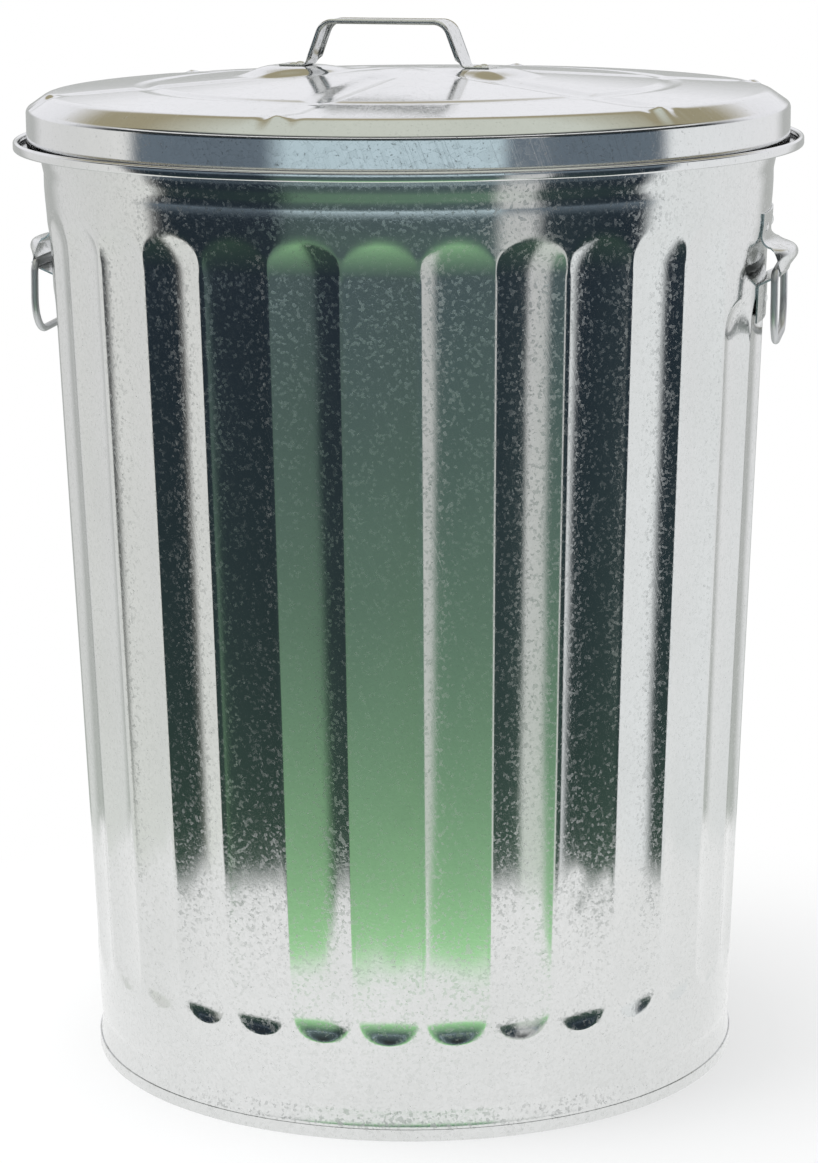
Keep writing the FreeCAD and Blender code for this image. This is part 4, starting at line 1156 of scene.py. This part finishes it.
@dataclass
class Studio:
    """Floor, backdrop, lights and camera of the photo.

    Attributes:
        distance: Horizontal distance of the camera from the can's axis in metres.
        height: Height of the camera.
        sideways: Shift of the camera to its right.
        pitch: Downward tilt in degrees.
        roll: Turn about the line of sight in degrees.
        lens: Focal length for a 36 mm long side.
    """

    distance: float = 2.421
    height: float = 0.8605
    sideways: float = -0.00194
    pitch: float = 12.28
    roll: float = -0.44
    lens: float = 107.54
    white_to: float = 0.49
    room_overhead: tuple[float, float, float] = (0.70, 0.73, 0.65)
    room_front: tuple[float, float, float] = (0.03, 0.035, 0.036)
    room_back: tuple[float, float, float] = (0.93, 0.93, 0.96)
    room_warm: tuple[float, float, float] = (0.40, 0.36, 0.24)
    room_far: tuple[float, float, float] = (0.60, 0.74, 0.80)
    strip: tuple[float, float, float] = (1.0, 1.0, 1.0)

    def camera(self) -> None:
        """Place the camera of the photo."""
        data = bpy.data.cameras.new("Camera")
        data.sensor_fit = "VERTICAL"
        data.sensor_height = 36.0
        data.lens = self.lens
        data.clip_end = 60.0
        thing = bpy.data.objects.new("Camera", data)
        turn = math.radians(CAMERA_TURN)
        place = Vector((math.sin(turn) * self.distance, -math.cos(turn) * self.distance, self.height))
        place += Vector((math.cos(turn), math.sin(turn), 0.0)) * self.sideways
        look = (Matrix.Rotation(turn, 4, "Z") @ Matrix.Rotation(math.radians(90.0 - self.pitch), 4, "X")
                @ Matrix.Rotation(math.radians(self.roll), 4, "Z"))
        thing.matrix_world = Matrix.Translation(place) @ look
        bpy.context.scene.collection.objects.link(thing)
        bpy.context.scene.camera = thing

    def floor(self) -> bpy.types.Object:
        """Pale floor that keeps the soft shadow near the can and melts into the white backdrop."""
        mesh = bpy.data.meshes.new("Floor")
        size = 8.0
        mesh.from_pydata([(-size, -size, 0.0), (size, -size, 0.0), (size, size, 0.0), (-size, size, 0.0)],
                         [], [(0, 1, 2, 3)])
        thing = bpy.data.objects.new("Floor", mesh)
        bpy.context.scene.collection.objects.link(thing)
        material = bpy.data.materials.new("studio_floor")
        material.use_nodes = True
        material.node_tree.nodes.clear()
        graph = Graph(material.node_tree)
        output = graph.add("ShaderNodeOutputMaterial")
        paper = graph.add("ShaderNodeBsdfDiffuse")
        paper.inputs["Color"].default_value = (0.93, 0.93, 0.93, 1.0)
        glow = graph.add("ShaderNodeEmission")
        glow.inputs["Color"].default_value = (1.0, 1.0, 1.0, 1.0)
        place = graph.add("ShaderNodeTexCoord")
        away = graph.add("ShaderNodeVectorMath", operation="LENGTH")
        graph.join(place.outputs["Object"], away.inputs[0])
        path = graph.add("ShaderNodeLightPath")
        fade = graph.math("MULTIPLY", graph.span(away.outputs["Value"], 0.26, 0.55, 0.45, 1.0),
                          path.outputs["Is Camera Ray"])
        fade = graph.math("MAXIMUM", fade, graph.math("MULTIPLY", path.outputs["Is Glossy Ray"], 0.9))
        blend = graph.add("ShaderNodeMixShader")
        graph.join(fade, blend.inputs[0])
        graph.join(paper.outputs[0], blend.inputs[1])
        graph.join(glow.outputs[0], blend.inputs[2])
        graph.join(blend.outputs[0], output.inputs[0])
        mesh.materials.append(material)
        return thing

    def card(self) -> bpy.types.Object:
        """Ring on the floor that only the metal mirrors: the darker room beyond the white paper."""
        columns = 96
        corners = []
        for radius in (self.white_to - 0.05, 0.7, 1.0, 1.6, 3.0, 7.5, 20.0):
            corners += [(radius * math.cos(math.tau * step / columns),
                         radius * math.sin(math.tau * step / columns), 0.0006) for step in range(columns)]
        mesh = bpy.data.meshes.new("Mirror_card")
        mesh.from_pydata(corners, [], grid_faces(7, columns, False, True))
        thing = bpy.data.objects.new("Mirror_card", mesh)
        bpy.context.scene.collection.objects.link(thing)
        thing.visible_camera = False
        thing.visible_diffuse = False
        thing.visible_shadow = False
        thing.visible_transmission = False
        thing.visible_volume_scatter = False
        material = bpy.data.materials.new("studio_room")
        material.use_nodes = True
        material.node_tree.nodes.clear()
        graph = Graph(material.node_tree)
        output = graph.add("ShaderNodeOutputMaterial")
        glow = graph.add("ShaderNodeEmission")
        place = graph.add("ShaderNodeTexCoord")
        away = graph.add("ShaderNodeVectorMath", operation="LENGTH")
        graph.join(place.outputs["Object"], away.inputs[0])
        stretch = graph.math("DIVIDE", away.outputs["Value"],
                             graph.math("SUBTRACT", away.outputs["Value"], 0.12))
        turn = graph.math("MULTIPLY", turn_of(graph, place.outputs["Object"]), stretch)
        reach = graph.math("DIVIDE", 1.0, graph.math("SUBTRACT", away.outputs["Value"], 0.24))
        near = graph.math("MAXIMUM", graph.math("MULTIPLY", graph.math("SUBTRACT", reach, 0.37), 0.19), 0.0)
        room = RoomBands().place(graph, turn, near)
        middle = graph.math("MULTIPLY", graph.span(turn, -43.0, -35.0), graph.span(turn, 26.0, 30.0, 1.0, 0.0))
        horizon = graph.mix(middle, (0.15, 0.19, 0.23, 1.0), (*self.room_far, 1.0))
        dark_side = graph.math("MULTIPLY", graph.span(turn, -92.0, -84.0), graph.span(turn, 76.0, 84.0, 1.0, 0.0))
        far = graph.math("MULTIPLY", graph.span(away.outputs["Value"], 4.2, 6.0), dark_side)
        room = graph.mix(far, room, horizon)
        ragged = graph.add("ShaderNodeTexNoise", in_2=7.0, in_3=3.0)
        graph.join(place.outputs["Object"], ragged.inputs["Vector"])
        edge = graph.math("MULTIPLY_ADD", graph.math("SUBTRACT", 1.0, middle), 0.15, self.white_to - 0.06)
        edge = graph.math("MULTIPLY_ADD", ragged.outputs[0], 0.12, edge)
        beyond = graph.math("SUBTRACT", away.outputs["Value"], edge)
        paper = graph.span(beyond, 0.0, 0.05, 1.0, 0.0)
        graph.join(graph.mix(paper, room, (1.0, 1.0, 1.0, 1.0)), glow.inputs["Color"])
        graph.join(glow.outputs[0], output.inputs[0])
        mesh.materials.append(material)
        return thing

    def lamp(self) -> bpy.types.Object:
        """Large soft lamp over the can, a little to the left."""
        data = bpy.data.lights.new("Soft_lamp", "AREA")
        data.shape = "DISK"
        data.size = 1.6
        data.energy = 30.0
        thing = bpy.data.objects.new("Soft_lamp", data)
        thing.location = (-0.9, -0.5, 2.6)
        thing.rotation_euler = Euler((math.radians(10.0), math.radians(-19.0), 0.0))
        thing.visible_glossy = False
        bpy.context.scene.collection.objects.link(thing)
        return thing

    def world(self) -> None:
        """White for the camera, soft white for the floor's light, and the room for the mirror rays."""
        world = bpy.data.worlds.new("Studio")
        bpy.context.scene.world = world
        world.use_nodes = True
        world.node_tree.nodes.clear()
        graph = Graph(world.node_tree)
        output = graph.add("ShaderNodeOutputWorld")
        place = graph.add("ShaderNodeTexCoord")
        turn = turn_of(graph, place.outputs["Generated"])
        parts = graph.add("ShaderNodeSeparateXYZ")
        graph.join(place.outputs["Generated"], parts.inputs[0])
        rise = graph.math("MULTIPLY", graph.math("ARCSINE", parts.outputs[2]), 180.0 / math.pi)
        low = RoomBands().place(graph, turn, 0.0)
        wide = graph.math("ABSOLUTE", turn)
        behind = graph.span(wide, 100.0, 125.0)
        upper_back = graph.mix(graph.span(rise, 24.0, 34.0), (*self.room_back, 1.0), (*self.room_warm, 1.0))
        high = graph.mix(behind, (*self.room_front, 1.0), upper_back)
        room = graph.mix(graph.span(rise, 3.0, 8.0), low, high)
        strip = graph.math("MULTIPLY", graph.span(rise, 24.0, 27.0), graph.span(rise, 34.0, 37.0, 1.0, 0.0))
        strip = graph.math("MULTIPLY", strip, graph.span(wide, 100.0, 125.0, 1.0, 0.0))
        room = graph.mix(strip, room, (*self.strip, 1.0))
        room = graph.mix(graph.span(rise, 45.0, 62.0), room, (*self.room_overhead, 1.0))
        path = graph.add("ShaderNodeLightPath")
        even = graph.mix(path.outputs["Is Glossy Ray"], (0.93, 0.94, 0.95, 1.0), room)
        seen = graph.mix(path.outputs["Is Camera Ray"], even, (1.0, 1.0, 1.0, 1.0))
        sky = graph.add("ShaderNodeBackground")
        graph.join(seen, sky.inputs["Color"])
        sky.inputs["Strength"].default_value = 1.0
        graph.join(sky.outputs[0], output.inputs[0])

    def build(self) -> None:
        """Set the whole studio."""
        bpy.context.scene.view_settings.view_transform = "Standard"
        self.camera()
        self.world()
        self.floor()
        self.card()
        self.lamp()


def main() -> None:
    """Build the can, dress the kept pieces and set the studio."""
    logging.basicConfig(level=logging.INFO, format="%(message)s")
    CanWall().build()
    BottomPan().build()
    for side in (1, -1):
        Ear(side).build()
        Bail(side).build()
    LidShell().build()
    StrapHandle().build()
    for kept in KEPT:
        kept.dress()
    Studio().build()


if __name__ == "__main__":
    main()
